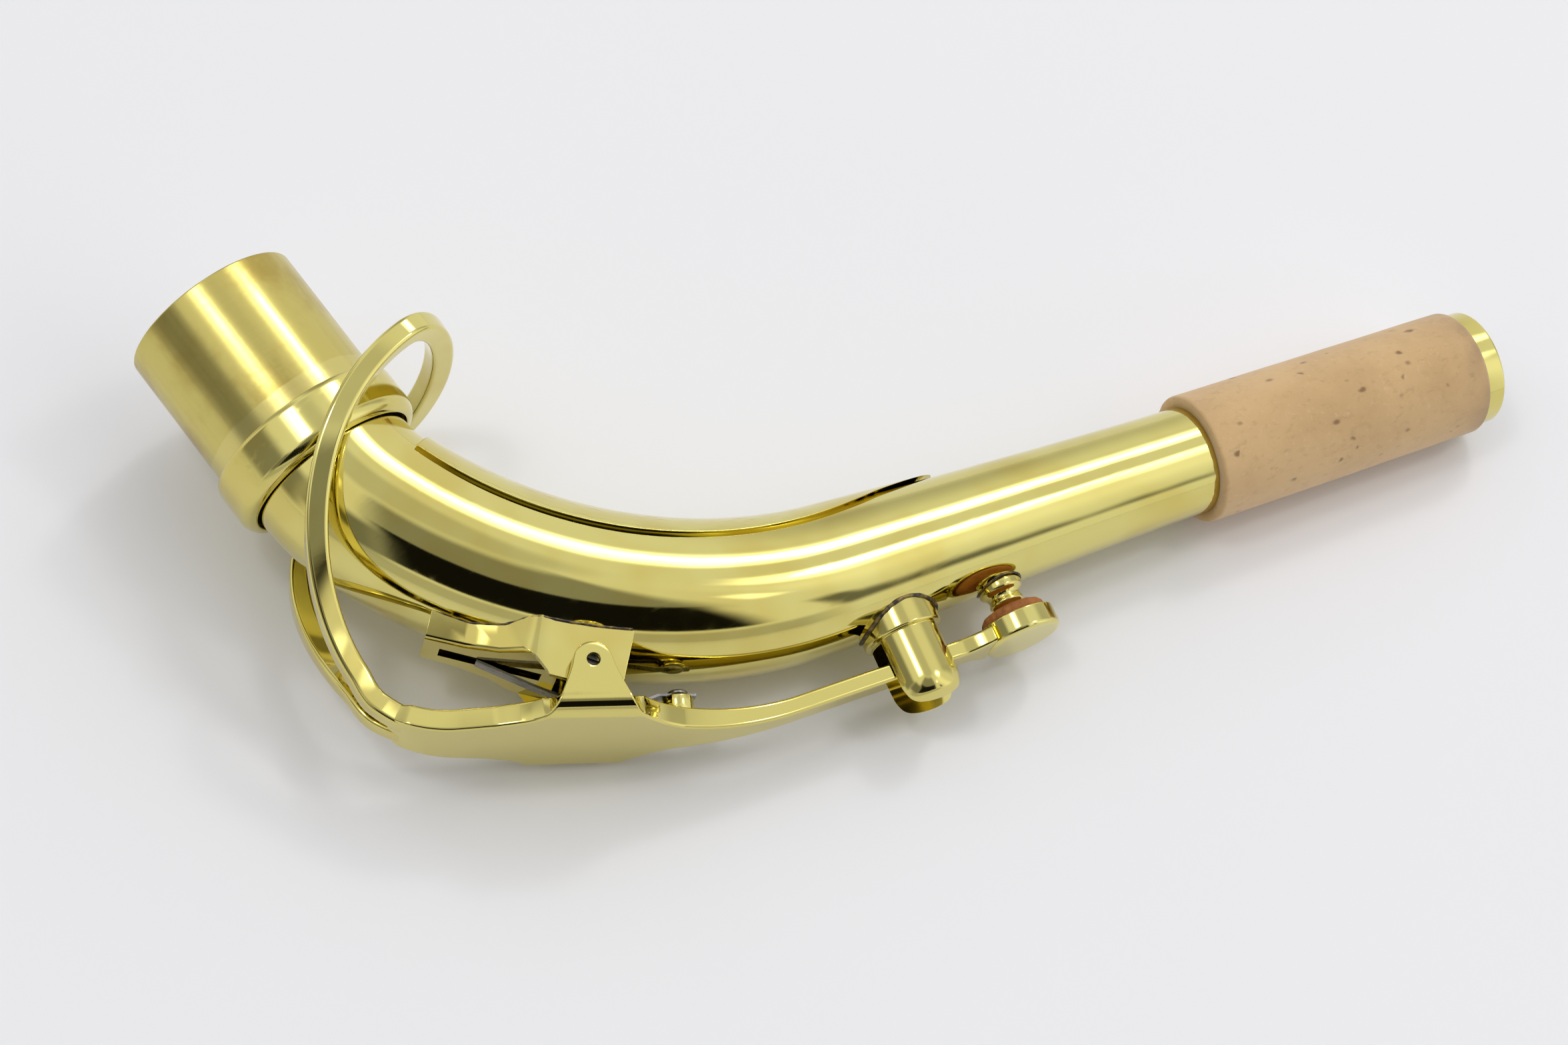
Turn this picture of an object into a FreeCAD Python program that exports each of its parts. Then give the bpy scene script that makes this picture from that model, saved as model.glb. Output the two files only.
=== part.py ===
"""Alto saxophone neck with its octave key, as a parametric FreeCAD document.

Design frame: the origin is the centre of the tenon's open end, +X runs along the tenon
towards the bend, the tube bends towards +Y, and Z = 0 is the plane of symmetry.
Every sub-part is then turned by one small rest rotation, so that +Z is up with the neck
lying on its side on a flat bench.
"""
import FreeCAD, Part
import math
import os

import Sketcher
from FreeCAD import Placement, Rotation, Vector

doc = FreeCAD.newDocument("alto_neck")

# ---------------------------------------------------------------- driving dimensions
# Millimetres and degrees. "height" is a distance out from the tube's centreline.
DIMENSIONS = dict(
    rest_roll=0.84,
    rest_pitch=8.81,
    # tenon and collar
    tenon_radius=12.25,
    tenon_bore=11.45,
    tenon_length=26.6,
    tenon_seat_radius=12.0,
    collar_radius=13.5,
    collar_start=20.4,
    collar_edge=26.0,
    collar_end=27.2,
    collar_lip=11.8,
    collar_chamfer=0.5,
    # neck tube: a straight run, two bends and the straight mouthpiece end
    tube_start=19.0,
    bend_start=27.2,
    bend_one_radius=22.0,
    bend_one_turn=19.5,
    bend_two_radius=64.8,
    bend_two_turn=55.6,
    cork_run=56.6,
    cork_length=44.4,
    tip_length=2.6,
    tube_wall=0.7,
    tube_radius_start=11.45,
    tube_station_one=52.0,
    tube_radius_one=11.2,
    tube_station_two=77.0,
    tube_radius_two=10.6,
    tube_station_three=117.0,
    tube_radius_three=8.65,
    tube_radius_cork=7.55,
    tube_radius_end=7.15,
    envelope_extra=0.85,
    # cork and tip ring
    cork_radius=9.03,
    cork_chamfer=0.3,
    ring_radius=8.15,
    ring_length=3.0,
    ring_bore=6.4,
    ring_chamfer=0.3,
    # octave pip, on the outer side of the tube
    pip_station=119.6,
    pip_radius=3.05,
    pip_foot=8.0,
    pip_shoulder=10.2,
    pip_seat=12.0,
    pip_seat_radius=1.8,
    vent_radius=1.4,
    vent_bore=0.8,
    vent_depth=5.5,
    vent_drill=16.0,
    # pad and pad cup
    pad_gap=0.03,
    pad_radius=4.55,
    pad_skin=0.35,
    pad_rim=14.9,
    card_thickness=0.7,
    cup_radius=5.35,
    cup_wall=0.6,
    cup_rim=13.7,
    cup_face=16.8,
    # forked guide post
    guide_station=104.0,
    guide_radius=4.74,
    guide_foot=7.0,
    guide_flange_radius=5.5,
    guide_flange_top=10.9,
    guide_shoulder=18.2,
    guide_end=21.0,
    guide_end_radius=2.6,
    guide_slot=4.3,
    guide_slot_floor=11.4,
    # saddle on the outer side of the bend, and the hinge through it
    saddle_station=59.0,
    saddle_sheet=0.8,
    saddle_front=-13.6,
    saddle_back=11.9,
    saddle_front_half=3.4,
    saddle_waist=-8.5,
    saddle_flare=0.0,
    saddle_back_half=7.5,
    saddle_foot=5.0,
    saddle_top=12.65,
    lug_top=15.0,
    lug_start=2.2,
    plate_end=4.0,
    spring_slot_start=-11.4,
    spring_slot_end=2.0,
    spring_slot_width=2.3,
    hinge_x=69.4,
    hinge_y=8.45,
    hinge_tube_radius=1.35,
    hinge_tube_bore=0.93,
    hinge_tube_length=16.2,
    screw_radius=0.88,
    screw_length=20.0,
    screw_slot=0.4,
    # octave key: loop
    loop_centre_x=52.2,
    loop_centre_y=15.4,
    loop_radius=30.3,
    loop_thick=2.9,
    loop_width=2.8,
    loop_apex_width=3.2,
    loop_apex_angle=170.7,
    loop_end_angle=281.0,
    loop_half=17.8,
    loop_end_half=2.2,
    loop_nose=8.0,
    loop_near_extra=1.7,
    loop_far_extra=1.8,
    loop_apex_blend=25.0,
    # octave key: bridge, cheeks and arm
    bridge_slope=57.5,
    bridge_reach=7.0,
    key_thick=2.9,
    lever_start_x=54.0,
    lever_start_y=-17.1,
    lever_start_slope=7.0,
    lever_bend_radius=17.2,
    lever_flat=28.8,
    arm_bend_radius=52.7,
    arm_bend=17.6,
    arm_length=30.0,
    arm_thick=2.3,
    arm_half=1.85,
    bridge_half=10.8,
    cheek_wall=2.5,
    cheek_foot=4.75,
    cheek_radius=2.5,
    cheek_hole=0.9,
    cheek_draft=0.3,
    # the lever from above: half widths at distances from the hinge, towards the pad
    waist_start=-34.0,
    waist_start_half=2.6,
    waist_middle=-19.0,
    waist_middle_half=4.8,
    waist_end=-9.0,
    waist_end_half=6.5,
    ear_curve=1.5,
    ear_curve_half=8.1,
    shoulder_middle=7.5,
    shoulder_middle_half=7.3,
    shoulder_end=12.25,
    shoulder_end_half=4.1,
    taper_middle=19.5,
    taper_middle_half=2.6,
    taper_end=30.75,
    plan_end=70.0,
    plan_depth=90.0,
    # flat spring, its post and its screw
    spring_thick=0.35,
    spring_width=1.7,
    spring_front=2.3,
    spring_behind=2.6,
    spring_hinge_gap=0.3,
    spring_bend_station=61.0,
    spring_bend_rise=1.6,
    spring_tip_station=53.6,
    spring_tip_rise=0.25,
    post_station=75.7,
    post_radius=2.05,
    post_foot=15.75,
    post_top=13.35,
    screw_head_radius=1.35,
    screw_head_rise=0.75,
    spring_screw_radius=0.7,
    spring_screw_depth=1.8,
    # brace on the inner side of the bend
    brace_start=35.5,
    brace_taper=107.0,
    brace_end=118.0,
    brace_edge_x=16.6,
    brace_edge_y=58.8,
    brace_edge_radius=53.5,
)

sheet = doc.addObject("Spreadsheet::Sheet", "Sizes")
for row, (alias, number) in enumerate(DIMENSIONS.items(), start=1):
    sheet.set(f"A{row}", alias)
    sheet.set(f"B{row}", str(number))
    sheet.setAlias(f"B{row}", alias)
doc.recompute()


class Size:
    """A length or an angle, kept with the sheet expression that gives it."""

    def __init__(self, value, text):
        self.value = float(value)
        self.text = text

    def __add__(self, other):
        other = as_size(other)
        return Size(self.value + other.value, f"({self.text} + {other.text})")

    def __sub__(self, other):
        other = as_size(other)
        return Size(self.value - other.value, f"({self.text} - {other.text})")

    def __mul__(self, factor):
        return Size(self.value * factor, f"({self.text} * {factor})")

    def __neg__(self):
        return self * -1

    def __float__(self):
        return self.value


def as_size(number):
    return number if isinstance(number, Size) else Size(number, str(number))


class Sheet:
    """Reads an alias of the sheet as a Size: D.tube_wall."""

    def __getattr__(self, alias):
        return Size(sheet.get(alias), f"Sizes.{alias}")


D = Sheet()


def number(alias):
    """The plain value of one cell, for placements and Part functions."""
    return float(sheet.get(alias))


# ---------------------------------------------------------------- places
REST = Placement(
    Vector(0, 0, 0),
    Rotation(Vector(1, 0, 0), number("rest_roll")) * Rotation(Vector(0, 1, 0), number("rest_pitch")),
)


def centreline_runs():
    """Each run of the tube's centreline as its length and its bend radius, 0 if straight."""
    one = number("bend_one_radius")
    two = number("bend_two_radius")
    ahead = number("cork_run") + number("cork_length") + number("tip_length")
    return [
        (number("bend_start"), 0.0),
        (one * math.radians(number("bend_one_turn")), one),
        (two * math.radians(number("bend_two_turn")), two),
        (ahead, 0.0),
    ]


def walk(runs, distance, turn=0.0, x=0.0, y=0.0):
    """The place a distance along a tangent chain of straight runs and left-hand arcs."""
    for length, radius in runs:
        step = min(distance, length)
        if radius:
            swept = step / radius
            x += radius * (math.sin(turn + swept) - math.sin(turn))
            y += radius * (math.cos(turn) - math.cos(turn + swept))
            turn += swept
        else:
            x += step * math.cos(turn)
            y += step * math.sin(turn)
        distance -= step
        if distance <= 0:
            break
    return Placement(Vector(x, y, 0), Rotation(Vector(0, 0, 1), math.degrees(turn)))


def station(distance):
    """The centreline at a distance from the tenon's end: X along it, Y to the inner side."""
    return walk(centreline_runs(), distance)


def along(distance):
    """A place on the centreline whose Z axis runs along it."""
    return station(distance) * Placement(Vector(), Rotation(Vector(0, 1, 0), 90))


def outward(distance):
    """A place on the centreline whose Z axis points to the outer side of the bend."""
    return station(distance) * Placement(Vector(), Rotation(Vector(1, 0, 0), 90))


CORK_START = sum(length for length, _ in centreline_runs()[:3]) + number("cork_run")
CORK_END = CORK_START + number("cork_length")
TUBE_END = CORK_END + number("tip_length")


# ---------------------------------------------------------------- modelling helpers
def add(kind, name):
    obj = doc.addObject(kind, name)
    obj.Label = name
    return obj


def plane_of(body, role):
    return next(item for item in body.Origin.OriginFeatures if item.Role == role)


def new_sketch(body, name, role, offset=None):
    """A sketch on one of the body's own origin planes."""
    sketch = body.newObject("Sketcher::SketchObject", name)
    sketch.AttachmentSupport = [(plane_of(body, role), "")]
    sketch.MapMode = "FlatFace"
    if offset is not None:
        sketch.AttachmentOffset = offset
    return sketch


def fix(sketch, kind, geometry, point, size):
    """Dimension one point of a sketch from the sketch's origin."""
    size = as_size(size)
    if abs(size.value) < 1e-9:
        axis = -2 if kind == "DistanceX" else -1
        sketch.addConstraint(Sketcher.Constraint("PointOnObject", geometry, point, axis))
        return
    index = sketch.addConstraint(Sketcher.Constraint(kind, -1, 1, geometry, point, size.value))
    sketch.setExpression(f"Constraints[{index}]", size.text)


def draw_polygon(sketch, points):
    """A closed outline of straight lines, every corner dimensioned from the sheet."""
    corners = [Vector(float(x), float(y), 0) for x, y in points]
    first = sketch.GeometryCount
    count = len(corners)
    for index, corner in enumerate(corners):
        sketch.addGeometry(Part.LineSegment(corner, corners[(index + 1) % count]), False)
    for index in range(count):
        following = first + (index + 1) % count
        sketch.addConstraint(Sketcher.Constraint("Coincident", first + index, 2, following, 1))
    for index, (x, y) in enumerate(points):
        fix(sketch, "DistanceX", first + index, 1, x)
        fix(sketch, "DistanceY", first + index, 1, y)


def draw_circle(sketch, radius, x=0, y=0):
    centre = Vector(float(x), float(y), 0)
    index = sketch.addGeometry(Part.Circle(centre, Vector(0, 0, 1), float(radius)), False)
    ruled = sketch.addConstraint(Sketcher.Constraint("Radius", index, float(radius)))
    sketch.setExpression(f"Constraints[{ruled}]", as_size(radius).text)
    fix(sketch, "DistanceX", index, 3, x)
    fix(sketch, "DistanceY", index, 3, y)


def new_pad(body, sketch, length, midplane=False, backwards=False):
    length = as_size(length)
    pad = body.newObject("PartDesign::Pad", sketch.Name + "_pad")
    pad.Profile = sketch
    pad.Length = length.value
    pad.setExpression("Length", length.text)
    pad.Midplane = midplane
    pad.Reversed = backwards
    return pad


def new_body(name):
    body = add("PartDesign::Body", name)
    doc.recompute()
    return body


def turned(name, profile, place):
    """A turned piece: (radius, height) corners spun about the body's own Z axis."""
    body = new_body(name)
    sketch = new_sketch(body, name + "_profile", "XZ_Plane")
    draw_polygon(sketch, profile)
    spin = body.newObject("PartDesign::Revolution", name + "_spin")
    spin.Profile = sketch
    spin.ReferenceAxis = (sketch, ["V_Axis"])
    spin.Angle = 360
    body.Placement = place
    return body


def prism(name, role, points, length, place, midplane=True):
    """A straight-sided block from a closed outline on one of its own planes."""
    body = new_body(name)
    sketch = new_sketch(body, name + "_outline", role)
    draw_polygon(sketch, points)
    new_pad(body, sketch, length, midplane)
    body.Placement = place
    return body


def cylinder(name, radius, length, place):
    """A rod centred on its place, along that place's Z axis."""
    rod = add("Part::Cylinder", name)
    radius, length = as_size(radius), as_size(length)
    rod.setExpression("Radius", radius.text)
    rod.setExpression("Height", length.text)
    rod.Placement = place * Placement(Vector(0, 0, -length.value / 2), Rotation())
    return rod


def combine(kind, name, *pieces):
    """A Part boolean: Part::Cut and Part::Common take two pieces, Part::MultiFuse any."""
    result = add(kind, name)
    if kind == "Part::MultiFuse":
        result.Shapes = list(pieces)
        result.Refine = True
    else:
        result.Base, result.Tool = pieces
        result.Refine = kind == "Part::Cut"
    return result


HINGE = Placement(Vector(number("hinge_x"), number("hinge_y"), 0), Rotation())
parts = {}


# ---------------------------------------------------------------- neck tube
def tube_profile():
    """(distance along the centreline, outer radius) of the drawn tube's sections."""
    return [
        (number("tube_start"), D.tube_radius_start),
        (number("tube_station_one"), D.tube_radius_one),
        (number("tube_station_two"), D.tube_radius_two),
        (number("tube_station_three"), D.tube_radius_three),
        (CORK_START, D.tube_radius_cork),
        (TUBE_END, D.tube_radius_end),
    ]


def draw_spine(body, name):
    """The centreline as a tangent chain of lines and arcs in the plane of symmetry."""
    spine = new_sketch(body, name, "XY_Plane")
    start = number("tube_start")
    ends = [start]
    for length, _ in centreline_runs():
        ends.append(length if len(ends) == 1 else ends[-1] + length)
    for index, (_, radius) in enumerate(centreline_runs()):
        low, high = station(ends[index]), station(ends[index + 1])
        if radius:
            middle = station((ends[index] + ends[index + 1]) / 2)
            arc = Part.Arc(low.Base, middle.Base, high.Base)
            spine.addGeometry(arc, False)
        else:
            spine.addGeometry(Part.LineSegment(low.Base, high.Base), False)
    for index in range(len(ends) - 2):
        spine.addConstraint(Sketcher.Constraint("Tangent", index, 2, index + 1, 1))
    fix(spine, "DistanceX", 0, 1, D.tube_start)
    fix(spine, "DistanceY", 0, 1, 0)
    fix(spine, "DistanceX", 0, 2, D.bend_start)
    spine.addConstraint(Sketcher.Constraint("Horizontal", 0))
    for index, alias in ((1, "bend_one_radius"), (2, "bend_two_radius")):
        ruled = spine.addConstraint(Sketcher.Constraint("Radius", index, number(alias)))
        spine.setExpression(f"Constraints[{ruled}]", f"Sizes.{alias}")
    return spine


def draw_section(body, name, distance, radius):
    """A round section square to the centreline."""
    plane = Placement(Vector(), Rotation(Vector(0, 1, 0), Vector(0, 0, 1), Vector(1, 0, 0)))
    offset = plane.inverse() * station(distance) * plane
    section = new_sketch(body, name, "YZ_Plane", offset)
    draw_circle(section, radius)
    return section


def swept(body, kind, name, extra):
    """One tapered pipe along the centreline, its radii the tube's plus extra."""
    spine = draw_spine(body, name + "_spine")
    sections = [
        draw_section(body, f"{name}_section_{index}", distance, radius + extra)
        for index, (distance, radius) in enumerate(tube_profile())
    ]
    doc.recompute()
    pipe = body.newObject(kind, name)
    pipe.Profile = (sections[0], [""])
    pipe.Spine = (spine, [f"Edge{index + 1}" for index in range(4)])
    pipe.Sections = [(section, [""]) for section in sections[1:]]
    pipe.Transformation = "Multisection"
    pipe.Mode = "Standard"
    return pipe


def solid_tube(name, extra):
    """The tube's outside as a solid, grown by extra: used only to cut its neighbours."""
    body = new_body(name)
    swept(body, "PartDesign::AdditivePipe", name + "_pipe", as_size(extra))
    doc.recompute()
    body.Placement = REST
    return body


def make_neck_tube():
    body = new_body("neck_tube_drawn")
    swept(body, "PartDesign::AdditivePipe", "neck_outside", as_size(0))
    swept(body, "PartDesign::SubtractivePipe", "neck_bore", -D.tube_wall)
    doc.recompute()
    body.Placement = REST
    middle = Placement(Vector(0, 0, number("vent_drill") / 2), Rotation())
    place = REST * outward(number("pip_station")) * middle
    drill = cylinder("vent_drill", D.vent_radius, D.vent_drill, place)
    return combine("Part::Cut", "neck_tube", body, drill)


# ---------------------------------------------------------------- tenon, collar, cork, tip
def make_tenon_sleeve():
    profile = [
        (D.tenon_bore, 0),
        (D.tenon_radius, 0),
        (D.tenon_radius, D.collar_start),
        (D.tenon_seat_radius, D.collar_start),
        (D.tenon_seat_radius, D.tenon_length),
        (D.tenon_bore, D.tenon_length),
    ]
    return turned("tenon_sleeve", profile, REST * along(0))


def make_tenon_collar():
    cut = D.collar_chamfer
    profile = [
        (D.tenon_seat_radius, D.collar_start),
        (D.collar_radius - cut, D.collar_start),
        (D.collar_radius, D.collar_start + cut),
        (D.collar_radius, D.collar_edge),
        (D.collar_radius - cut, D.collar_end - cut),
        (D.collar_lip + cut, D.collar_end),
        (D.collar_lip, D.collar_end),
        (D.collar_lip, D.tenon_length),
        (D.tenon_seat_radius, D.tenon_length),
    ]
    return turned("tenon_collar", profile, REST * along(0))


def make_neck_cork(envelope):
    """A plain sleeve of cork, glued on the tube: its bore is the tube's own outside."""
    cut = D.cork_chamfer
    profile = [
        (D.ring_bore, 0),
        (D.cork_radius - cut, 0),
        (D.cork_radius, cut),
        (D.cork_radius, D.cork_length - cut),
        (D.cork_radius - cut, D.cork_length),
        (D.ring_bore, D.cork_length),
    ]
    blank = turned("cork_blank", profile, REST * along(CORK_START))
    return combine("Part::Cut", "neck_cork", blank, envelope)


def make_tip_ring(envelope):
    """The ring round the tube's mouth, with a lip over its end."""
    cut = D.ring_chamfer
    profile = [
        (D.ring_bore, 0),
        (D.ring_radius, 0),
        (D.ring_radius, D.ring_length - cut),
        (D.ring_radius - cut, D.ring_length),
        (D.ring_bore, D.ring_length),
    ]
    blank = turned("ring_blank", profile, REST * along(CORK_END))
    return combine("Part::Cut", "tip_ring", blank, envelope)


# ---------------------------------------------------------------- pip, guide, brace
def make_octave_pip(tube):
    profile = [
        (D.vent_bore, D.vent_depth),
        (D.vent_radius, D.vent_depth),
        (D.vent_radius, D.pip_foot),
        (D.pip_radius, D.pip_foot),
        (D.pip_radius, D.pip_shoulder),
        (D.pip_seat_radius + 0.7, D.pip_seat - 0.8),
        (D.pip_seat_radius, D.pip_seat),
        (D.vent_bore, D.pip_seat),
    ]
    blank = turned("pip_blank", profile, REST * outward(number("pip_station")))
    return combine("Part::Cut", "octave_pip", blank, tube)


def make_key_guide(envelope):
    """A round post with a base flange, slotted lengthwise into two prongs."""
    profile = [
        (0, D.guide_foot),
        (D.guide_flange_radius, D.guide_foot),
        (D.guide_flange_radius, D.guide_flange_top),
        (D.guide_radius, D.guide_flange_top),
        (D.guide_radius, D.guide_shoulder),
        (D.guide_radius - 0.5, D.guide_end - 0.9),
        (D.guide_end_radius, D.guide_end),
        (0, D.guide_end),
    ]
    place = REST * outward(number("guide_station"))
    blank = turned("guide_blank", profile, place)
    half = D.guide_slot * 0.5
    reach = D.guide_flange_radius + 1
    slot = prism(
        "guide_slot_cut",
        "YZ_Plane",
        [
            (-half, D.guide_slot_floor),
            (half, D.guide_slot_floor),
            (half, D.guide_end + 1),
            (-half, D.guide_end + 1),
        ],
        reach * 2,
        place,
    )
    slotted = combine("Part::Cut", "guide_slotted", blank, slot)
    return combine("Part::Cut", "key_guide", slotted, envelope)


def make_underslung_brace(envelope):
    """A thin leaf of sheet that wraps the inner side of the bend."""
    grown = solid_tube("brace_outside", D.envelope_extra)
    leaf = new_body("brace_leaf")
    sketch = new_sketch(leaf, "brace_leaf_outline", "XY_Plane")
    centre = Vector(number("brace_edge_x"), number("brace_edge_y"), 0)
    radius = number("brace_edge_radius")
    above = number("tube_radius_start") + 4

    def edge_point(distance):
        """Where the brace's edge arc crosses the line square to the centreline."""
        place = station(distance)
        side = place.Rotation.multVec(Vector(0, 1, 0))
        away = place.multVec(Vector(0, above, 0)) - centre
        ahead = side.dot(away)
        reach = -ahead - math.sqrt(ahead ** 2 - away.Length ** 2 + radius ** 2)
        return place.multVec(Vector(0, above + reach, 0))

    low, high = edge_point(number("brace_start")), edge_point(number("brace_taper"))
    middle = centre + ((low + high) * 0.5 - centre).normalize() * radius
    end = station(number("brace_end"))
    tip = end.multVec(Vector(0, number("tube_radius_three") + number("envelope_extra") + 0.05, 0))
    corners = [
        tip,
        end.multVec(Vector(0, above, 0)),
        station(number("brace_start")).multVec(Vector(0, above, 0)),
        low,
    ]
    sketch.addGeometry(Part.Arc(low, middle, high), False)
    sketch.addGeometry(Part.LineSegment(high, corners[0]), False)
    for index in range(3):
        sketch.addGeometry(Part.LineSegment(corners[index], corners[index + 1]), False)
    for index in range(5):
        sketch.addConstraint(Sketcher.Constraint("Coincident", index, 2, (index + 1) % 5, 1))
    ruled = sketch.addConstraint(Sketcher.Constraint("Radius", 0, radius))
    sketch.setExpression(f"Constraints[{ruled}]", "Sizes.brace_edge_radius")
    new_pad(leaf, sketch, D.collar_radius * 2, midplane=True)
    leaf.Placement = REST
    shell = combine("Part::Cut", "brace_shell", grown, envelope)
    return combine("Part::Common", "underslung_brace", shell, leaf)


# ---------------------------------------------------------------- saddle and hinge tube
def saddle_outline(inset):
    """The saddle from above: narrow in front, flared to the two lugs at the back."""
    front, back = D.saddle_front + inset, D.saddle_back
    narrow, wide = D.saddle_front_half - inset, D.saddle_back_half - inset
    side = [
        (front, narrow),
        (D.saddle_waist, narrow + 0.3),
        ((D.saddle_waist + D.saddle_flare) * 0.5, (narrow + wide) * 0.5 - 0.4),
        (D.saddle_flare - 1.5, wide - 0.5),
        (D.saddle_flare, wide),
        (back, wide),
    ]
    return side + [(x, -z) for x, z in reversed(side)]


def make_key_saddle(envelope):
    """Bent sheet: a slotted plate, side walls down to the tube, and two hinge lugs."""
    upright = station(number("saddle_station")) * Placement(Vector(), Rotation(Vector(1, 0, 0), 90))
    place = REST * upright
    flat = REST * station(number("saddle_station"))
    blank = prism("saddle_blank", "XY_Plane", saddle_outline(as_size(0)), D.lug_top, place, False)
    core = prism(
        "saddle_core",
        "XY_Plane",
        saddle_outline(D.saddle_sheet),
        D.saddle_top - D.saddle_sheet,
        place,
        False,
    )
    reach = D.saddle_back_half * 2 + 2
    over = prism(
        "saddle_step",
        "XY_Plane",
        [
            (D.saddle_front - 1, -D.saddle_top),
            (D.saddle_flare, -D.saddle_top),
            (D.lug_start, -D.lug_top + 0.5),
            (D.lug_start + 1, -D.lug_top - 1),
            (D.saddle_front - 1, -D.lug_top - 1),
        ],
        reach,
        flat,
    )
    gap = D.saddle_back_half - D.saddle_sheet
    between = prism(
        "saddle_between",
        "XY_Plane",
        [
            (D.plate_end, -D.lug_top - 1),
            (D.saddle_back + 1, -D.lug_top - 1),
            (D.saddle_back + 1, -D.saddle_foot),
            (D.plate_end, -D.saddle_foot),
        ],
        gap * 2,
        flat,
    )
    above = prism(
        "saddle_above",
        "XY_Plane",
        [
            (D.saddle_flare - 1, -D.lug_top - 1),
            (D.plate_end + 1, -D.lug_top - 1),
            (D.plate_end + 1, -D.saddle_top),
            (D.saddle_flare - 1, -D.saddle_top),
        ],
        gap * 2,
        flat,
    )
    slot = prism(
        "saddle_slot",
        "XZ_Plane",
        [
            (D.spring_slot_start, -D.spring_slot_width * 0.5),
            (D.spring_slot_end, -D.spring_slot_width * 0.5),
            (D.spring_slot_end, D.spring_slot_width * 0.5),
            (D.spring_slot_start, D.spring_slot_width * 0.5),
        ],
        D.lug_top * 4,
        flat,
    )
    eye = cylinder("saddle_eye", D.hinge_tube_radius, reach, REST * HINGE)
    shaped = blank
    for index, tool in enumerate((core, over, between, above, slot, eye)):
        shaped = combine("Part::Cut", f"saddle_cut_{index}", shaped, tool)
    return combine("Part::Cut", "key_saddle", shaped, envelope)


def make_hinge_tube():
    outside = cylinder("hinge_tube_blank", D.hinge_tube_radius, D.hinge_tube_length, REST * HINGE)
    bore = cylinder("hinge_tube_drill", D.hinge_tube_bore, D.hinge_tube_length + 2, REST * HINGE)
    return combine("Part::Cut", "hinge_tube", outside, bore)


def make_hinge_screw():
    """The pivot screw, with a driver slot across its near end."""
    rod = cylinder("hinge_screw_rod", D.screw_radius, D.screw_length, REST * HINGE)
    slot = add("Part::Box", "hinge_screw_slot")
    slot.setExpression("Length", "Sizes.screw_radius * 3")
    slot.setExpression("Width", "Sizes.screw_slot")
    slot.setExpression("Height", "Sizes.screw_slot * 2")
    corner = Vector(
        -number("screw_radius") * 1.5,
        -number("screw_slot") / 2,
        number("screw_length") / 2 - number("screw_slot"),
    )
    slot.Placement = REST * HINGE * Placement(Vector(), Rotation(Vector(0, 0, 1), 35))
    slot.Placement = slot.Placement * Placement(corner, Rotation())
    return combine("Part::Cut", "hinge_screw", rod, slot)


# ---------------------------------------------------------------- octave key
def loop_half(turn, side=1):
    """Half the loop's spread at an angle, on the near side (1) or the far side (-1)."""
    arc = number("loop_radius") * math.radians(turn - number("loop_apex_angle"))
    nose = number("loop_nose")
    widest = number("loop_half")
    if arc < nose:
        return widest * math.sqrt(1 - (1 - arc / nose) ** 2)
    full = number("loop_radius") * math.radians(
        number("loop_end_angle") - number("loop_apex_angle")
    )
    share = (arc - nose) / (full - nose)
    fall = share ** 2 * (3 - 2 * share)
    most = number("loop_near_extra") if side > 0 else number("loop_far_extra")
    extra = most * math.sin(math.pi * share) ** 2
    return widest + extra + (number("loop_end_half") - widest) * fall


def loop_frame(turn, side=1):
    """The loop's mid line at an angle: its point, the tangent, and its two cross axes."""
    step = 0.05

    def point(at):
        angle = math.radians(at)
        return Vector(
            number("loop_centre_x") + number("loop_radius") * math.cos(angle),
            number("loop_centre_y") + number("loop_radius") * math.sin(angle),
            loop_half(at, side),
        )

    here = point(turn)
    if turn - step < number("loop_apex_angle"):
        tangent = Vector(0, 0, 1)
    else:
        tangent = (point(turn + step) - point(turn - step)).normalize()
    angle = math.radians(turn)
    radial = Vector(math.cos(angle), math.sin(angle), 0)
    across = tangent.cross(radial).normalize()
    return here, tangent, radial, across


def loop_angles():
    """Angles along one branch of the loop, crowded where the nose turns."""
    apex, end = number("loop_apex_angle"), number("loop_end_angle")
    nose = math.degrees(number("loop_nose") / number("loop_radius"))
    round_part = [apex + nose * (1 - math.cos(math.radians(a))) for a in range(0, 90, 15)]
    straight = [apex + nose + (end - apex - nose) * share / 9 for share in range(10)]
    return round_part + straight


def loop_section(turn, mirror=1):
    """The bar's rectangular section, wider at the apex."""
    here, _, radial, across = loop_frame(turn, mirror)
    apex = number("loop_apex_angle")
    share = min(1.0, (turn - apex) / number("loop_apex_blend"))
    width = number("loop_apex_width") + (number("loop_width") - number("loop_apex_width")) * share
    thick = number("loop_thick")
    corners = []
    for side, face in ((1, 1), (-1, 1), (-1, -1), (1, -1)):
        spot = here + radial * (thick / 2 * face) + across * (width / 2 * side)
        corners.append(Vector(spot.x, spot.y, spot.z * mirror))
    return Part.makePolygon(corners + corners[:1])


def make_loop_bar():
    """The loop round the tenon: a bar drawn through square-cornered sections."""
    angles = loop_angles()
    near = [loop_section(turn) for turn in angles]
    far = [loop_section(turn, -1) for turn in angles[1:]]
    wires = near[::-1] + far
    loop = add("Part::Feature", "loop_bar")
    loop.Shape = Part.makeLoft(wires, True, True)
    loop.Placement = REST
    return loop


def bridge_place():
    """The bridge's frame: at the hinge's foot, X along the outer face, Y to the tube."""
    turn = Rotation(Vector(0, 0, 1), number("bridge_slope"))
    foot = turn.multVec(Vector(0, -number("bridge_reach"), 0))
    return Placement(HINGE.Base + foot, turn)


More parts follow.
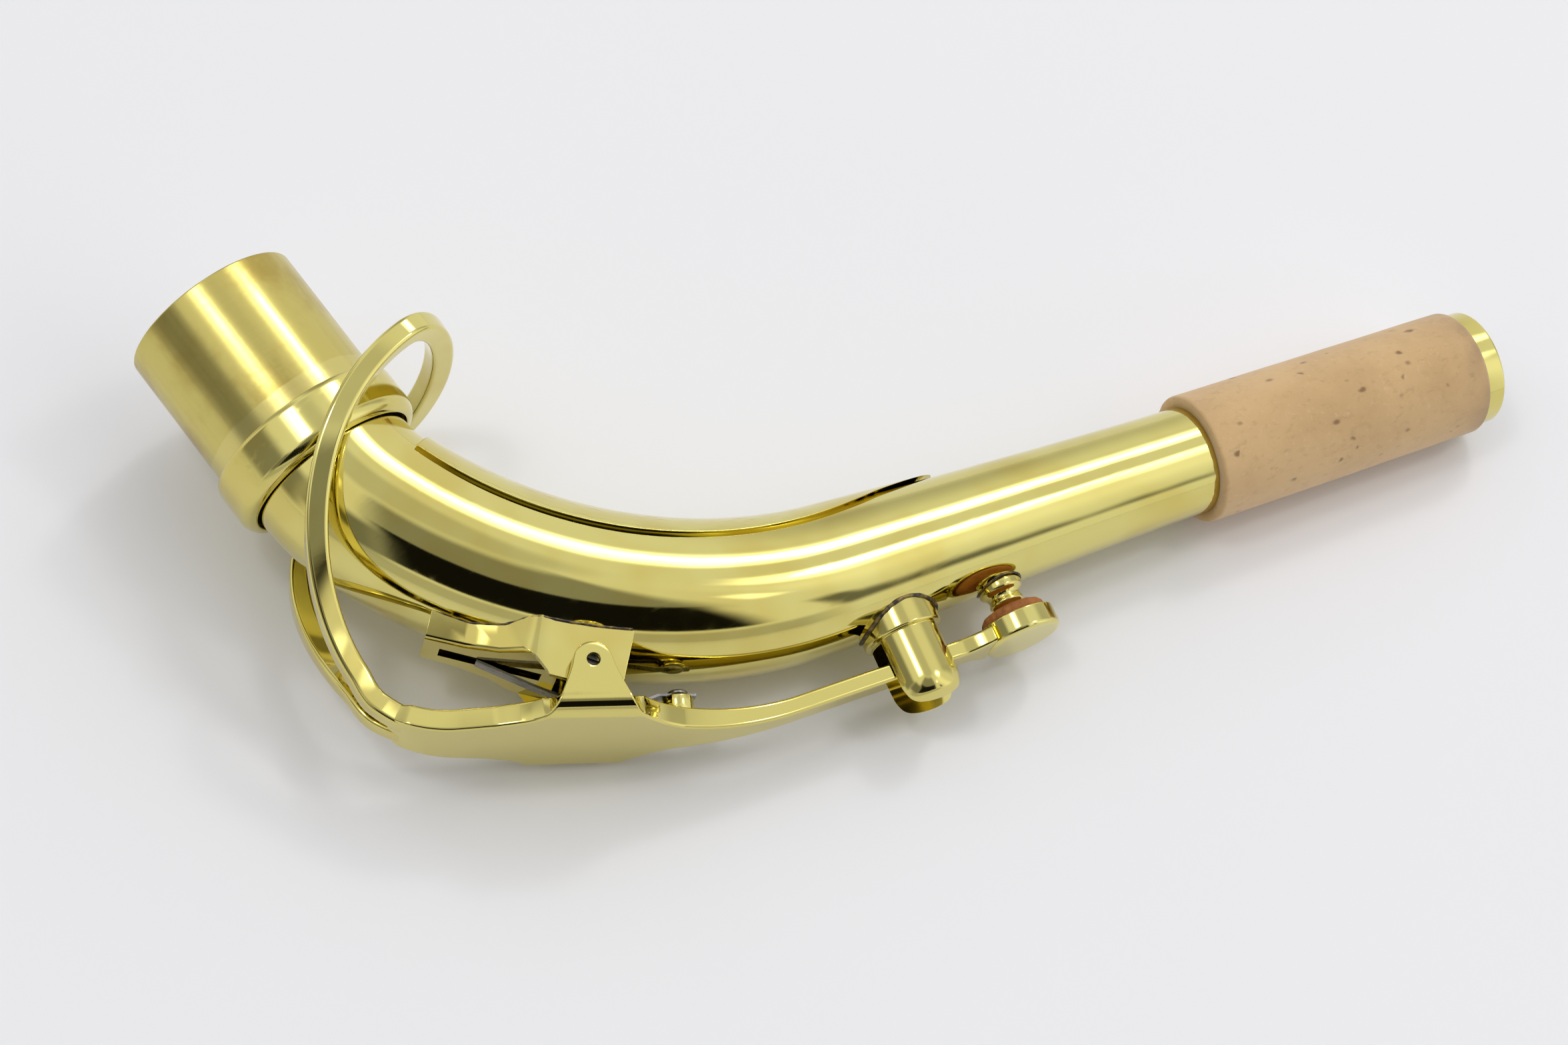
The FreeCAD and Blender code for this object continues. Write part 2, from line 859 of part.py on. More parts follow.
def lever_runs():
    """The bridge's and arm's outer face from the side: each length and bend radius."""
    first = math.radians(number("bridge_slope") - number("lever_start_slope"))
    return [
        (number("lever_bend_radius") * first, number("lever_bend_radius")),
        (number("lever_flat"), 0.0),
        (number("arm_bend_radius") * math.radians(number("arm_bend")), number("arm_bend_radius")),
        (number("arm_length"), 0.0),
    ]


def lever_face(distance, depth):
    """A point of the side profile, a depth below the outer face."""
    turn = math.radians(number("lever_start_slope"))
    place = walk(lever_runs(), distance, turn, number("lever_start_x"), number("lever_start_y"))
    return place.multVec(Vector(0, depth, 0))


def lever_side_edges():
    """The closed side profile: outer face, cup end, inner face, loop end."""
    ends = [0.0]
    for length, _ in lever_runs():
        ends.append(ends[-1] + length)
    thick, thin = number("key_thick"), number("arm_thick")
    depths = [thick, thick, thick, (thick + thin) / 2, thin]
    edges = []
    for face in (0, 1):
        for index, (length, radius) in enumerate(lever_runs()):
            low = lever_face(ends[index], depths[index] * face)
            high = lever_face(ends[index + 1], depths[index + 1] * face)
            middle = (ends[index] + ends[index + 1]) / 2
            depth = (depths[index] + depths[index + 1]) / 2 * face
            if radius:
                edges.append(Part.Arc(low, lever_face(middle, depth), high))
            else:
                edges.append(Part.LineSegment(low, high))
    outer, inner = edges[:4], edges[4:]
    start = Part.LineSegment(lever_face(0, thick), lever_face(0, 0))
    finish = Part.LineSegment(lever_face(ends[-1], 0), lever_face(ends[-1], thin))
    return outer + [finish] + inner[::-1] + [start]


def lever_plan_edges():
    """The lever's closed outline from above: arcs on each side, straight ears and arm."""
    foot, wide, arm = number("cheek_foot"), number("bridge_half"), number("arm_half")
    curve = number("ear_curve")
    waist_end = Vector(number("waist_end"), 0, number("waist_end_half"))
    shoulder_end = Vector(number("shoulder_end"), 0, number("shoulder_end_half"))
    arm_start = Vector(number("taper_end"), 0, arm)
    side = [
        Part.Arc(
            Vector(number("waist_start"), 0, number("waist_start_half")),
            Vector(number("waist_middle"), 0, number("waist_middle_half")),
            waist_end,
        ),
        Part.Arc(
            waist_end,
            Vector(-foot - curve, 0, number("ear_curve_half")),
            Vector(-foot, 0, wide),
        ),
        Part.LineSegment(Vector(-foot, 0, wide), Vector(foot, 0, wide)),
        Part.Arc(
            Vector(foot, 0, wide),
            Vector(number("shoulder_middle"), 0, number("shoulder_middle_half")),
            shoulder_end,
        ),
        Part.Arc(
            shoulder_end,
            Vector(number("taper_middle"), 0, number("taper_middle_half")),
            arm_start,
        ),
        Part.LineSegment(arm_start, Vector(number("plan_end"), 0, arm)),
    ]
    edges = [curve.toShape() for curve in side]
    mirrored = [edge.mirror(Vector(), Vector(0, 0, 1)) for edge in edges]
    ends = [
        Part.LineSegment(Vector(x, 0, half), Vector(x, 0, -half)).toShape()
        for x, half in (
            (number("waist_start"), number("waist_start_half")),
            (number("plan_end"), arm),
        )
    ]
    return edges + mirrored + ends


def make_lever():
    """Bridge and arm: a side profile cut by a plan outline."""
    wire = Part.Wire(Part.__sortEdges__([curve.toShape() for curve in lever_side_edges()]))
    half = number("bridge_half") + 1
    face = Part.Face(wire)
    face.translate(Vector(0, 0, -half))
    side = add("Part::Feature", "lever_side")
    side.Shape = face.extrude(Vector(0, 0, 2 * half))
    side.Placement = REST
    outline = Part.Face(Part.Wire(Part.__sortEdges__(lever_plan_edges())))
    depth = number("plan_depth")
    outline.translate(Vector(0, -depth / 2, 0))
    plan = add("Part::Feature", "lever_plan")
    plan.Shape = outline.extrude(Vector(0, depth, 0))
    plan.Placement = REST * bridge_place()
    return combine("Part::Common", "lever", side, plan)


def tangent_point(x, y, centre_y, radius):
    """Where a line from (x, y) touches the far side of a circle centred at (0, centre_y)."""
    away = math.hypot(x, y - centre_y)
    angle = math.atan2(y - centre_y, x) + math.acos(radius / away)
    return radius * math.cos(angle), centre_y + radius * math.sin(angle)


def make_cheek(name, low):
    """One of the two lugs that carry the hinge screw: a tapered foot and a round head."""
    foot, root = D.cheek_foot, D.cheek_foot - D.cheek_draft
    x, y = tangent_point(
        float(root), number("key_thick"), number("bridge_reach"), number("cheek_radius")
    )
    outline = [(-foot, 0), (foot, 0), (root, D.key_thick), (x, y), (-x, y), (-root, D.key_thick)]
    place = REST * bridge_place() * Placement(Vector(0, 0, low), Rotation())
    web = prism(name + "_web", "XY_Plane", outline, D.cheek_wall, place, False)
    middle = Vector(0, number("bridge_reach"), number("cheek_wall") / 2)
    head = cylinder(
        name + "_head", D.cheek_radius, D.cheek_wall, place * Placement(middle, Rotation())
    )
    return [web, head]


def make_octave_key():
    """Loop, bridge, cheeks and arm are one casting, bored for the screw and for the cup."""
    outer = number("bridge_half")
    inner = outer - number("cheek_wall")
    cheeks = make_cheek("near_cheek", inner) + make_cheek("far_cheek", -outer)
    whole = combine("Part::MultiFuse", "key_casting", make_loop_bar(), make_lever(), *cheeks)
    doc.recompute()
    bore = cylinder("cheek_bore", D.cheek_hole, D.bridge_half * 2 + 2, REST * HINGE)
    bored = combine("Part::Cut", "key_bored", whole, bore)
    place = REST * outward(number("pip_station"))
    room = cylinder("cup_room", D.cup_radius, D.cup_face * 2 + 10, place)
    return combine("Part::Cut", "octave_key", bored, room)


# ---------------------------------------------------------------- pad
def make_pad_cup():
    rim, face = D.cup_rim, D.cup_face
    wall = D.cup_wall
    profile = [
        (0, face),
        (D.cup_radius - 0.3, face),
        (D.cup_radius, face - 0.3),
        (D.cup_radius, rim),
        (D.cup_radius - wall, rim),
        (D.cup_radius - wall, D.pad_rim + D.card_thickness),
        (0, D.pad_rim + D.card_thickness),
    ]
    return turned("pad_cup", profile, REST * outward(number("pip_station")))


def make_pad_pieces():
    """Leather skin over a felt disc, on a card backing."""
    place = REST * outward(number("pip_station"))
    face = D.pip_seat + D.pad_gap
    skin = D.pad_skin
    leather = [
        (0, face),
        (D.pad_radius - 0.4, face),
        (D.pad_radius, face + 0.4),
        (D.pad_radius, D.pad_rim),
        (D.pad_radius - skin, D.pad_rim),
        (D.pad_radius - skin, face + skin),
        (0, face + skin),
    ]
    felt = [
        (0, face + skin),
        (D.pad_radius - skin, face + skin),
        (D.pad_radius - skin, D.pad_rim),
        (0, D.pad_rim),
    ]
    card = [
        (0, D.pad_rim),
        (D.pad_radius, D.pad_rim),
        (D.pad_radius, D.pad_rim + D.card_thickness),
        (0, D.pad_rim + D.card_thickness),
    ]
    return {
        "pad_leather": turned("pad_leather", leather, place),
        "pad_felt": turned("pad_felt", felt, place),
        "pad_card": turned("pad_card", card, place),
    }


# ---------------------------------------------------------------- spring
def make_spring_post():
    profile = [
        (0, D.post_foot),
        (D.post_radius, D.post_foot),
        (D.post_radius, D.post_top),
        (D.spring_screw_radius, D.post_top),
        (D.spring_screw_radius, D.post_top + D.spring_screw_depth),
        (0, D.post_top + D.spring_screw_depth),
    ]
    return turned("spring_post", profile, REST * outward(number("post_station")))


def make_spring_screw():
    top = D.post_top - D.spring_thick
    head = D.screw_head_radius
    profile = [
        (0, D.post_top + D.spring_screw_depth),
        (D.spring_screw_radius, D.post_top + D.spring_screw_depth),
        (D.spring_screw_radius, top),
        (head, top),
        (head, top - 0.35),
        (head * 0.7, top - D.screw_head_rise + 0.08),
        (0, top - D.screw_head_rise),
    ]
    return turned("spring_screw", profile, REST * outward(number("post_station")))


def make_octave_spring():
    """A flat leaf: from the post, round the outer side of the hinge tube, to the slot."""
    post = outward(number("post_station"))
    lie = number("post_top") - number("spring_thick")
    start = post.multVec(Vector(number("spring_front"), 0, lie))
    behind = post.multVec(Vector(-number("spring_behind"), 0, lie))
    slope = math.radians(number("bridge_slope"))
    clear = number("hinge_tube_radius") + number("spring_hinge_gap")
    below = HINGE.Base + Vector(math.sin(slope), -math.cos(slope), 0) * clear
    top = number("saddle_top")
    tip_rise = Vector(0, 0, top + number("spring_tip_rise"))
    bend_rise = Vector(0, 0, top + number("spring_bend_rise"))
    tip = outward(number("spring_tip_station")).multVec(tip_rise)
    bend = outward(number("spring_bend_station")).multVec(bend_rise)
    curve = Part.BSplineCurve()
    curve.interpolate([behind, below, bend, tip])
    count = 16
    first, last = curve.FirstParameter, curve.LastParameter
    thick = number("spring_thick")
    points = [start] + [curve.value(first + (last - first) * k / count) for k in range(count + 1)]
    low, high = [], []
    for index, spot in enumerate(points):
        before = points[max(index - 1, 0)]
        after = points[min(index + 1, len(points) - 1)]
        direction = (after - before).normalize()
        side = Vector(-direction.y, direction.x, 0)
        low.append(spot)
        high.append(spot + side * thick)
    outline = Part.makePolygon(low + high[::-1] + low[:1])
    half = number("spring_width") / 2
    face = Part.Face(outline)
    face.translate(Vector(0, 0, -half))
    leaf = add("Part::Feature", "spring_leaf")
    leaf.Shape = face.extrude(Vector(0, 0, 2 * half))
    leaf.Placement = REST
    hole = cylinder("spring_hole", D.spring_screw_radius, 30, REST * post)
    return combine("Part::Cut", "octave_spring", leaf, hole)


# ---------------------------------------------------------------- assembly
envelope = solid_tube("tube_envelope", 0)
parts["neck_tube"] = make_neck_tube()
parts["tenon_sleeve"] = make_tenon_sleeve()
parts["tenon_collar"] = make_tenon_collar()
parts["neck_cork"] = make_neck_cork(envelope)
parts["tip_ring"] = make_tip_ring(envelope)
parts["octave_pip"] = make_octave_pip(parts["neck_tube"])
parts["key_guide"] = make_key_guide(envelope)
parts["underslung_brace"] = make_underslung_brace(envelope)
parts["key_saddle"] = make_key_saddle(envelope)
parts["hinge_tube"] = make_hinge_tube()
parts["hinge_screw"] = make_hinge_screw()
parts["pad_cup"] = make_pad_cup()
parts.update(make_pad_pieces())
parts["octave_key"] = make_octave_key()
parts["spring_post"] = make_spring_post()
parts["spring_screw"] = make_spring_screw()
parts["octave_spring"] = make_octave_spring()
doc.recompute()

for item in doc.Objects:
    bad = {"Invalid", "Error"} & set(item.State)
    if bad:
        raise RuntimeError(f"{item.Name} is {item.State}")

os.makedirs("parts", exist_ok=True)
for node, item in parts.items():
    shape = item.Shape
    if shape.isNull() or not shape.isValid() or not shape.Solids:
        raise RuntimeError(f"{node} has no valid solid")
    shape.exportStep(f"parts/{node}.step")
    print(f"{node:18s} solids {len(shape.Solids)}  volume {shape.Volume:9.1f}")
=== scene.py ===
import math
import random

import bmesh
import bpy
import numpy as np
from mathutils import Matrix, Vector, noise


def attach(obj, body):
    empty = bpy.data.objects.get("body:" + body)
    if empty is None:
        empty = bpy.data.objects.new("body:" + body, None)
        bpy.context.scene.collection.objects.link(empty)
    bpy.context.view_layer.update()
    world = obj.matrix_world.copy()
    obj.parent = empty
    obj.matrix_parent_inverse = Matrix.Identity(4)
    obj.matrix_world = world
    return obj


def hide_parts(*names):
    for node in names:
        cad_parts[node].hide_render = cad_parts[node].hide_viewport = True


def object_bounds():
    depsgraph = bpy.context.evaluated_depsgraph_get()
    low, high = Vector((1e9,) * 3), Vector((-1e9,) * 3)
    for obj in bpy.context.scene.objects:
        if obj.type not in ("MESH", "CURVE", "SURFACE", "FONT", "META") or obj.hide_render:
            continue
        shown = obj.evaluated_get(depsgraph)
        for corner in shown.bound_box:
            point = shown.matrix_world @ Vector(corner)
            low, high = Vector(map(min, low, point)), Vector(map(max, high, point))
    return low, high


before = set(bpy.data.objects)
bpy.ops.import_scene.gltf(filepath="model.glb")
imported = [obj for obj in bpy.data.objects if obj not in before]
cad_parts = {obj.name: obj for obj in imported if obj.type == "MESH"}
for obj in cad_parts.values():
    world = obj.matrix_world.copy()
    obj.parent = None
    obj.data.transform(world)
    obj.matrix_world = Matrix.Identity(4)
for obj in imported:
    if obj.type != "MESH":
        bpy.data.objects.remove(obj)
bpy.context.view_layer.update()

MM = 0.001

# ---------------------------------------------------------------- places, as in the CAD source
# The design frame has the tenon's open end at its origin, +X along the tenon and the bend
# towards +Y, in millimetres. REST turns it into the row frame.
REST = Matrix.Rotation(math.radians(0.84), 4, "X") @ Matrix.Rotation(math.radians(8.81), 4, "Y")
BEND_ONE, TURN_ONE = 22.0, math.radians(19.5)
BEND_TWO, TURN_TWO = 64.8, math.radians(55.6)
TENON_RUN = 27.2
CORK_RUN, CORK_LENGTH, TIP_LENGTH = 56.6, 44.4, 2.6
RUNS = [
    (TENON_RUN, 0.0),
    (BEND_ONE * TURN_ONE, BEND_ONE),
    (BEND_TWO * TURN_TWO, BEND_TWO),
    (CORK_RUN + CORK_LENGTH + TIP_LENGTH, 0.0),
]
CORK_START = sum(length for length, _ in RUNS[:3]) + CORK_RUN
CORK_END = CORK_START + CORK_LENGTH
TUBE_END = CORK_END + TIP_LENGTH
TUBE_START, TUBE_WALL = 19.0, 0.7
TUBE_RADIUS, TUBE_END_RADIUS = 11.45, 7.15
TUBE_STATIONS = [TUBE_START, 52.0, 77.0, 117.0, CORK_START, TUBE_END]
TUBE_RADII = [TUBE_RADIUS, 11.2, 10.6, 8.65, 7.55, TUBE_END_RADIUS]
# stations of the parts that stand on the tube, measured along its centreline
SADDLE, POST, GUIDE, PIP = 59.0, 75.7, 104.0, 119.6
HINGE = Vector((69.4, 8.45, 0))


def walk(runs, distance, turn=0.0, x=0.0, y=0.0):
    """The place a distance along a tangent chain of straight runs and left-hand arcs."""
    for length, radius in runs:
        step = min(distance, length)
        if radius:
            swept = step / radius
            x += radius * (math.sin(turn + swept) - math.sin(turn))
            y += radius * (math.cos(turn) - math.cos(turn + swept))
            turn += swept
        else:
            x += step * math.cos(turn)
            y += step * math.sin(turn)
        distance -= step
        if distance <= 0:
            break
    return Matrix.Translation((x, y, 0)) @ Matrix.Rotation(turn, 4, "Z")


def station(distance):
    return walk(RUNS, distance)


def along(distance):
    """A place on the centreline whose Z axis runs along it."""
    return station(distance) @ Matrix.Rotation(math.pi / 2, 4, "Y")


def outward(distance):
    """A place on the centreline whose Z axis points to the outer side of the bend."""
    return station(distance) @ Matrix.Rotation(math.pi / 2, 4, "X")


def smooth_through(x, xs, ys):
    """A smooth curve through a few points, with no overshoot (monotone cubic)."""
    xs, ys = np.asarray(xs, float), np.asarray(ys, float)
    steps = np.diff(ys) / np.diff(xs)
    slopes = np.zeros(len(xs))
    slopes[0], slopes[-1] = steps[0], steps[-1]
    for i in range(1, len(xs) - 1):
        if steps[i - 1] * steps[i] > 0:
            slopes[i] = 2 * steps[i - 1] * steps[i] / (steps[i - 1] + steps[i])
    x = np.clip(x, xs[0], xs[-1])
    i = np.clip(np.searchsorted(xs, x) - 1, 0, len(xs) - 2)
    h = xs[i + 1] - xs[i]
    t = (x - xs[i]) / h
    return (
        (1 + 2 * t) * (1 - t) ** 2 * ys[i]
        + t * (1 - t) ** 2 * h * slopes[i]
        + t * t * (3 - 2 * t) * ys[i + 1]
        + t * t * (t - 1) * h * slopes[i + 1]
    )


def tube_radius(distance):
    return float(smooth_through(distance, TUBE_STATIONS, TUBE_RADII))


# ---------------------------------------------------------------- materials
class Tree:
    """Short names for building a node tree, a material's or the world's."""

    def __init__(self, tree):
        self.tree = tree

    def add(self, kind, **settings):
        node = self.tree.nodes.new(kind)
        for key, value in settings.items():
            setattr(node, key, value)
        return node

    def link(self, source, target):
        self.tree.links.new(source, target)

    def ramp(self, source, low, high, out_low=0.0, out_high=1.0):
        node = self.add("ShaderNodeMapRange", interpolation_type="SMOOTHSTEP")
        for key, value in (
            ("From Min", low),
            ("From Max", high),
            ("To Min", out_low),
            ("To Max", out_high),
        ):
            node.inputs[key].default_value = value
        self.link(source, node.inputs["Value"])
        return node.outputs["Result"]

    def maths(self, operation, a, b=None):
        node = self.add("ShaderNodeMath", operation=operation)
        for socket, value in zip(node.inputs, (a, b)):
            if isinstance(value, (int, float)):
                socket.default_value = value
            elif value is not None:
                self.link(value, socket)
        return node.outputs[0]


class Nodes(Tree):
    """One material's node tree. Its textures follow each point's own place in the piece."""

    def __init__(self, name):
        self.material = bpy.data.materials.new(name)
        self.material.use_nodes = True
        super().__init__(self.material.node_tree)
        self.shader = self.tree.nodes["Principled BSDF"]
        self.place = self.add("ShaderNodeAttribute", attribute_name="local").outputs["Vector"]

    def stretched(self, scale, offset=(0, 0, 0)):
        mapping = self.add("ShaderNodeMapping")
        mapping.inputs["Scale"].default_value = scale
        mapping.inputs["Location"].default_value = offset
        self.link(self.place, mapping.inputs["Vector"])
        return mapping.outputs["Vector"]

    def noise(self, scale, stretch=(1, 1, 1), detail=3.0, rough=0.55, offset=(0, 0, 0)):
        node = self.add("ShaderNodeTexNoise")
        node.inputs["Scale"].default_value = scale
        node.inputs["Detail"].default_value = detail
        node.inputs["Roughness"].default_value = rough
        self.link(self.stretched(stretch, offset), node.inputs["Vector"])
        return node.outputs["Fac"]

    def mix(self, factor, a, b):
        node = self.add("ShaderNodeMix", data_type="RGBA")
        self.link(factor, node.inputs["Factor"])
        for key, value in (("A", a), ("B", b)):
            socket = next(s for s in node.inputs if s.name == key and s.type == "RGBA")
            if isinstance(value, tuple):
                socket.default_value = (*value, 1)
            else:
                self.link(value, socket)
        return next(s for s in node.outputs if s.type == "RGBA")

    def attribute(self, name):
        return self.add("ShaderNodeAttribute", attribute_name=name).outputs["Fac"]

    def bump(self, height, distance, strength=1.0, under=None):
        node = self.add("ShaderNodeBump")
        node.inputs["Strength"].default_value = strength
        node.inputs["Distance"].default_value = distance
        self.link(height, node.inputs["Height"])
        if under is not None:
            self.link(under, node.inputs["Normal"])
        return node.outputs["Normal"]

    def finish(self, colour=None, roughness=None, normal=None, **plain):
        for key, value in (("Base Color", colour), ("Roughness", roughness), ("Normal", normal)):
            if value is None:
                continue
            if isinstance(value, tuple):
                self.shader.inputs[key].default_value = (*value, 1)
            elif isinstance(value, float):
                self.shader.inputs[key].default_value = value
            else:
                self.link(value, self.shader.inputs[key])
        for key, value in plain.items():
            self.shader.inputs[key.replace("_", " ")].default_value = value
        return self.material


BRASS_PALE, BRASS_DEEP = (0.735, 0.655, 0.215), (0.68, 0.57, 0.155)
SEATING_LINE = 18.35  # millimetres from the tenon's open end


def polished_brass(name="lacquered_brass_polish", satin=0.0):
    """Mirror polish under clear lacquer: slow orange-peel waves, faint hairlines, dust dulling."""
    n = Nodes(name)
    tint = n.ramp(n.noise(90, detail=2), 0.35, 0.7)
    colour = n.mix(tint, BRASS_PALE, BRASS_DEEP)
    hairline = n.noise(900, (1, 0.06, 1), detail=2)
    dull = n.maths("MULTIPLY", n.ramp(n.noise(260, detail=4), 0.5, 0.8), 0.05)
    rough = n.maths("ADD", dull, 0.055 + satin)
    rough = n.maths("ADD", rough, n.maths("MULTIPLY", n.ramp(hairline, 0.55, 0.75), 0.05 + satin))
    waves = n.bump(n.noise(55, detail=1.0), 0.00022, 0.5)
    normal = n.bump(hairline, 0.000004, 0.4, waves)
    return n.finish(colour, rough, normal, Metallic=1.0, Coat_Weight=0.25, Coat_Roughness=0.04)


def turned_brass():
    """Raw turned brass: fine rings of tool marks, darker stripes along the tenon that are painted
    reflection bands, olive and gold patches, and a paler band past the line where it seats."""
    n = Nodes("tenon_brass_turned")
    marks = n.noise(40, (1, 1, 220), detail=4, rough=0.7)
    broad = n.noise(38, (1, 1, 26), detail=2)
    # painted reflection: these lengthwise bands darken the colour where the tenon shows dark reflection
    # bands, and they also add roughness
    painted_reflection_bands = n.noise(330, (1, 1, 0.035), detail=3, rough=0.65)
    patches = n.noise(75, (1, 1, 0.8), detail=5, rough=0.62)
    colour = n.mix(n.ramp(patches, 0.42, 0.68), (0.63, 0.535, 0.16), (0.47, 0.355, 0.085))
    colour = n.mix(n.ramp(painted_reflection_bands, 0.5, 0.75, 0.0, 0.5), colour, (0.38, 0.29, 0.08))
    split = n.add("ShaderNodeSeparateXYZ")
    n.link(n.place, split.inputs[0])
    uneven = n.maths("MULTIPLY", n.noise(120, (1, 1, 0.2), detail=3), 1.6 * MM)
    height = n.maths("ADD", split.outputs["Z"], uneven)
    seated = n.ramp(height, SEATING_LINE * MM, (SEATING_LINE + 0.3) * MM, 0.0, 0.6)
    colour = n.mix(seated, colour, (0.72, 0.63, 0.23))
    rough = n.ramp(patches, 0.3, 0.75, 0.13, 0.25)
    rough = n.maths("ADD", rough, n.maths("MULTIPLY", painted_reflection_bands, 0.08))
    normal = n.bump(marks, 0.00003, 0.32, n.bump(broad, 0.00006, 0.3))
    return n.finish(colour, rough, normal, Metallic=1.0)


def cork_material():
    """Sanded cork: soft clouds, crumbs, dark flecks and the sunk pores, soiled at the tip end."""
    n = Nodes("sanded_cork")
    cloud = n.noise(85, detail=5, rough=0.6)
    grain = n.noise(900, (1, 1, 0.6), detail=4, rough=0.7)
    colour = n.mix(n.ramp(cloud, 0.3, 0.72), (0.70, 0.465, 0.215), (0.60, 0.385, 0.17))
    colour = n.mix(n.ramp(grain, 0.52, 0.74, 0.0, 0.45), colour, (0.45, 0.275, 0.12))
    crumbs = n.noise(1500, detail=2, offset=(3, 1, 2))
    colour = n.mix(n.ramp(crumbs, 0.62, 0.72, 0.0, 0.3), colour, (0.76, 0.55, 0.30))
    fleck = n.add("ShaderNodeTexVoronoi")
    fleck.inputs["Scale"].default_value = 480
    n.link(n.stretched((1, 1, 0.55)), fleck.inputs["Vector"])
    near = n.ramp(fleck.outputs["Distance"], 0.10, 0.26, 0.9, 0.0)
    chosen = n.ramp(n.noise(240, detail=1, offset=(5, 2, 9)), 0.55, 0.61)
    flecks = n.maths("MULTIPLY", near, chosen)
    pores = n.maths("MAXIMUM", n.attribute("pore"), flecks)
    colour = n.mix(pores, colour, (0.24, 0.12, 0.045))
    colour = n.mix(n.attribute("soiled"), colour, (0.20, 0.12, 0.085))
    height = n.maths("SUBTRACT", grain, n.maths("MULTIPLY", flecks, 1.6))
    normal = n.bump(height, 0.00016, 0.55)
    return n.finish(colour, 0.86, normal, Sheen_Weight=0.25, Sheen_Roughness=0.6)


def leather_material():
    """Tanned kid leather: fine cells with darker seams, and wrinkles drawn down to the rim."""
    n = Nodes("pad_leather_tan")
    cells = n.add("ShaderNodeTexVoronoi", feature="DISTANCE_TO_EDGE")
    cells.inputs["Scale"].default_value = 2300
    n.link(n.place, cells.inputs["Vector"])
    grain = n.ramp(cells.outputs["Distance"], 0.0, 0.22)
    cloud = n.noise(420, detail=4)
    colour = n.mix(n.ramp(cloud, 0.35, 0.7), (0.47, 0.185, 0.055), (0.33, 0.12, 0.035))
    colour = n.mix(n.ramp(grain, 0.0, 1.0, 0.2, 0.0), colour, (0.14, 0.05, 0.018))
    rough = n.ramp(cloud, 0.3, 0.7, 0.6, 0.75)
    wrinkles = n.bump(n.noise(700, (1, 1, 0.3), detail=3), 0.00012, 0.5)
    normal = n.bump(grain, 0.00003, 0.35, wrinkles)
    return n.finish(colour, rough, normal, Specular_IOR_Level=0.2)


def steel_material(name="spring_steel", pale=(0.36, 0.35, 0.34), deep=(0.22, 0.215, 0.21)):
    n = Nodes(name)
    marks = n.noise(500, (0.06, 1, 1), detail=4, rough=0.7)
    colour = n.mix(n.ramp(marks, 0.4, 0.7), pale, deep)
    rough = n.ramp(marks, 0.3, 0.7, 0.22, 0.36)
    return n.finish(colour, rough, n.bump(marks, 0.00001, 0.4), Metallic=1.0)


def solder_material():
    n = Nodes("seam_solder")
    cloud = n.noise(900, detail=4)
    colour = n.mix(n.ramp(cloud, 0.4, 0.65), (0.055, 0.05, 0.06), (0.30, 0.22, 0.08))
    rough = n.ramp(cloud, 0.3, 0.7, 0.3, 0.5)
    return n.finish(colour, rough, n.bump(cloud, 0.00008, 0.6), Metallic=0.8)


def felt_material():
    n = Nodes("pressed_felt")
    fibre = n.noise(2600, detail=5, rough=0.75)
    colour = n.mix(n.ramp(fibre, 0.4, 0.7), (0.80, 0.75, 0.64), (0.62, 0.56, 0.46))
    return n.finish(colour, 0.95, n.bump(fibre, 0.0001, 0.7), Sheen_Weight=0.5)


def card_material():
    n = Nodes("stiff_card")
    fibre = n.noise(1800, detail=5, rough=0.7)
    colour = n.mix(n.ramp(fibre, 0.4, 0.7), (0.52, 0.41, 0.26), (0.40, 0.30, 0.18))
    return n.finish(colour, 0.9, n.bump(fibre, 0.00005, 0.5))


BRASS = polished_brass()
SATIN = polished_brass("lacquered_brass_satin", 0.06)
TURNED = turned_brass()
CORK, LEATHER, STEEL = cork_material(), leather_material(), steel_material()
OILED_STEEL = steel_material("pivot_steel_oiled", (0.10, 0.095, 0.09), (0.045, 0.04, 0.038))
SOLDER, FELT, CARD = solder_material(), felt_material(), card_material()


# ---------------------------------------------------------------- mesh helpers
def piece(name, verts, faces, place, material, body, slot, nodes=(), flat_weight=True):
    """A finished piece from points in millimetres of its own place in the design frame."""
    mesh = bpy.data.meshes.new(name)
    mesh.from_pydata((np.asarray(verts, float) * MM).tolist(), [], faces)
    mesh.validate()
    built = bmesh.new()
    built.from_mesh(mesh)
    bmesh.ops.remove_doubles(built, verts=built.verts, dist=1e-7)
    bmesh.ops.recalc_face_normals(built, faces=built.faces)
    built.to_mesh(mesh)
    built.free()
    remember_places(mesh)
    mesh.transform(in_metres(place))
    mesh.update()
    obj = bpy.data.objects.new(name, mesh)
    bpy.context.scene.collection.objects.link(obj)
    mesh.materials.append(material)
    dress(obj, body, nodes, flat_weight)
    return obj


def in_metres(place):
    """A place of the design frame, in the row frame and in metres."""
    world = REST @ place
    return Matrix.Translation(world.translation * MM) @ world.to_3x3().to_4x4()


def remember_places(mesh):
    """Keeps each point's own coordinates for the materials, before the mesh is put in place."""
    co = np.zeros(len(mesh.vertices) * 3, np.float32)
    mesh.vertices.foreach_get("co", co)
    mesh.attributes.new("local", "FLOAT_VECTOR", "POINT").data.foreach_set("vector", co)


def dress(obj, body, nodes=(), flat_weight=True):
    obj.data.shade_smooth()
    if flat_weight:
        weighted = obj.modifiers.new("weighted", "WEIGHTED_NORMAL")
        weighted.weight = 80
    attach(obj, body)
    if nodes:
        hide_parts(*nodes)


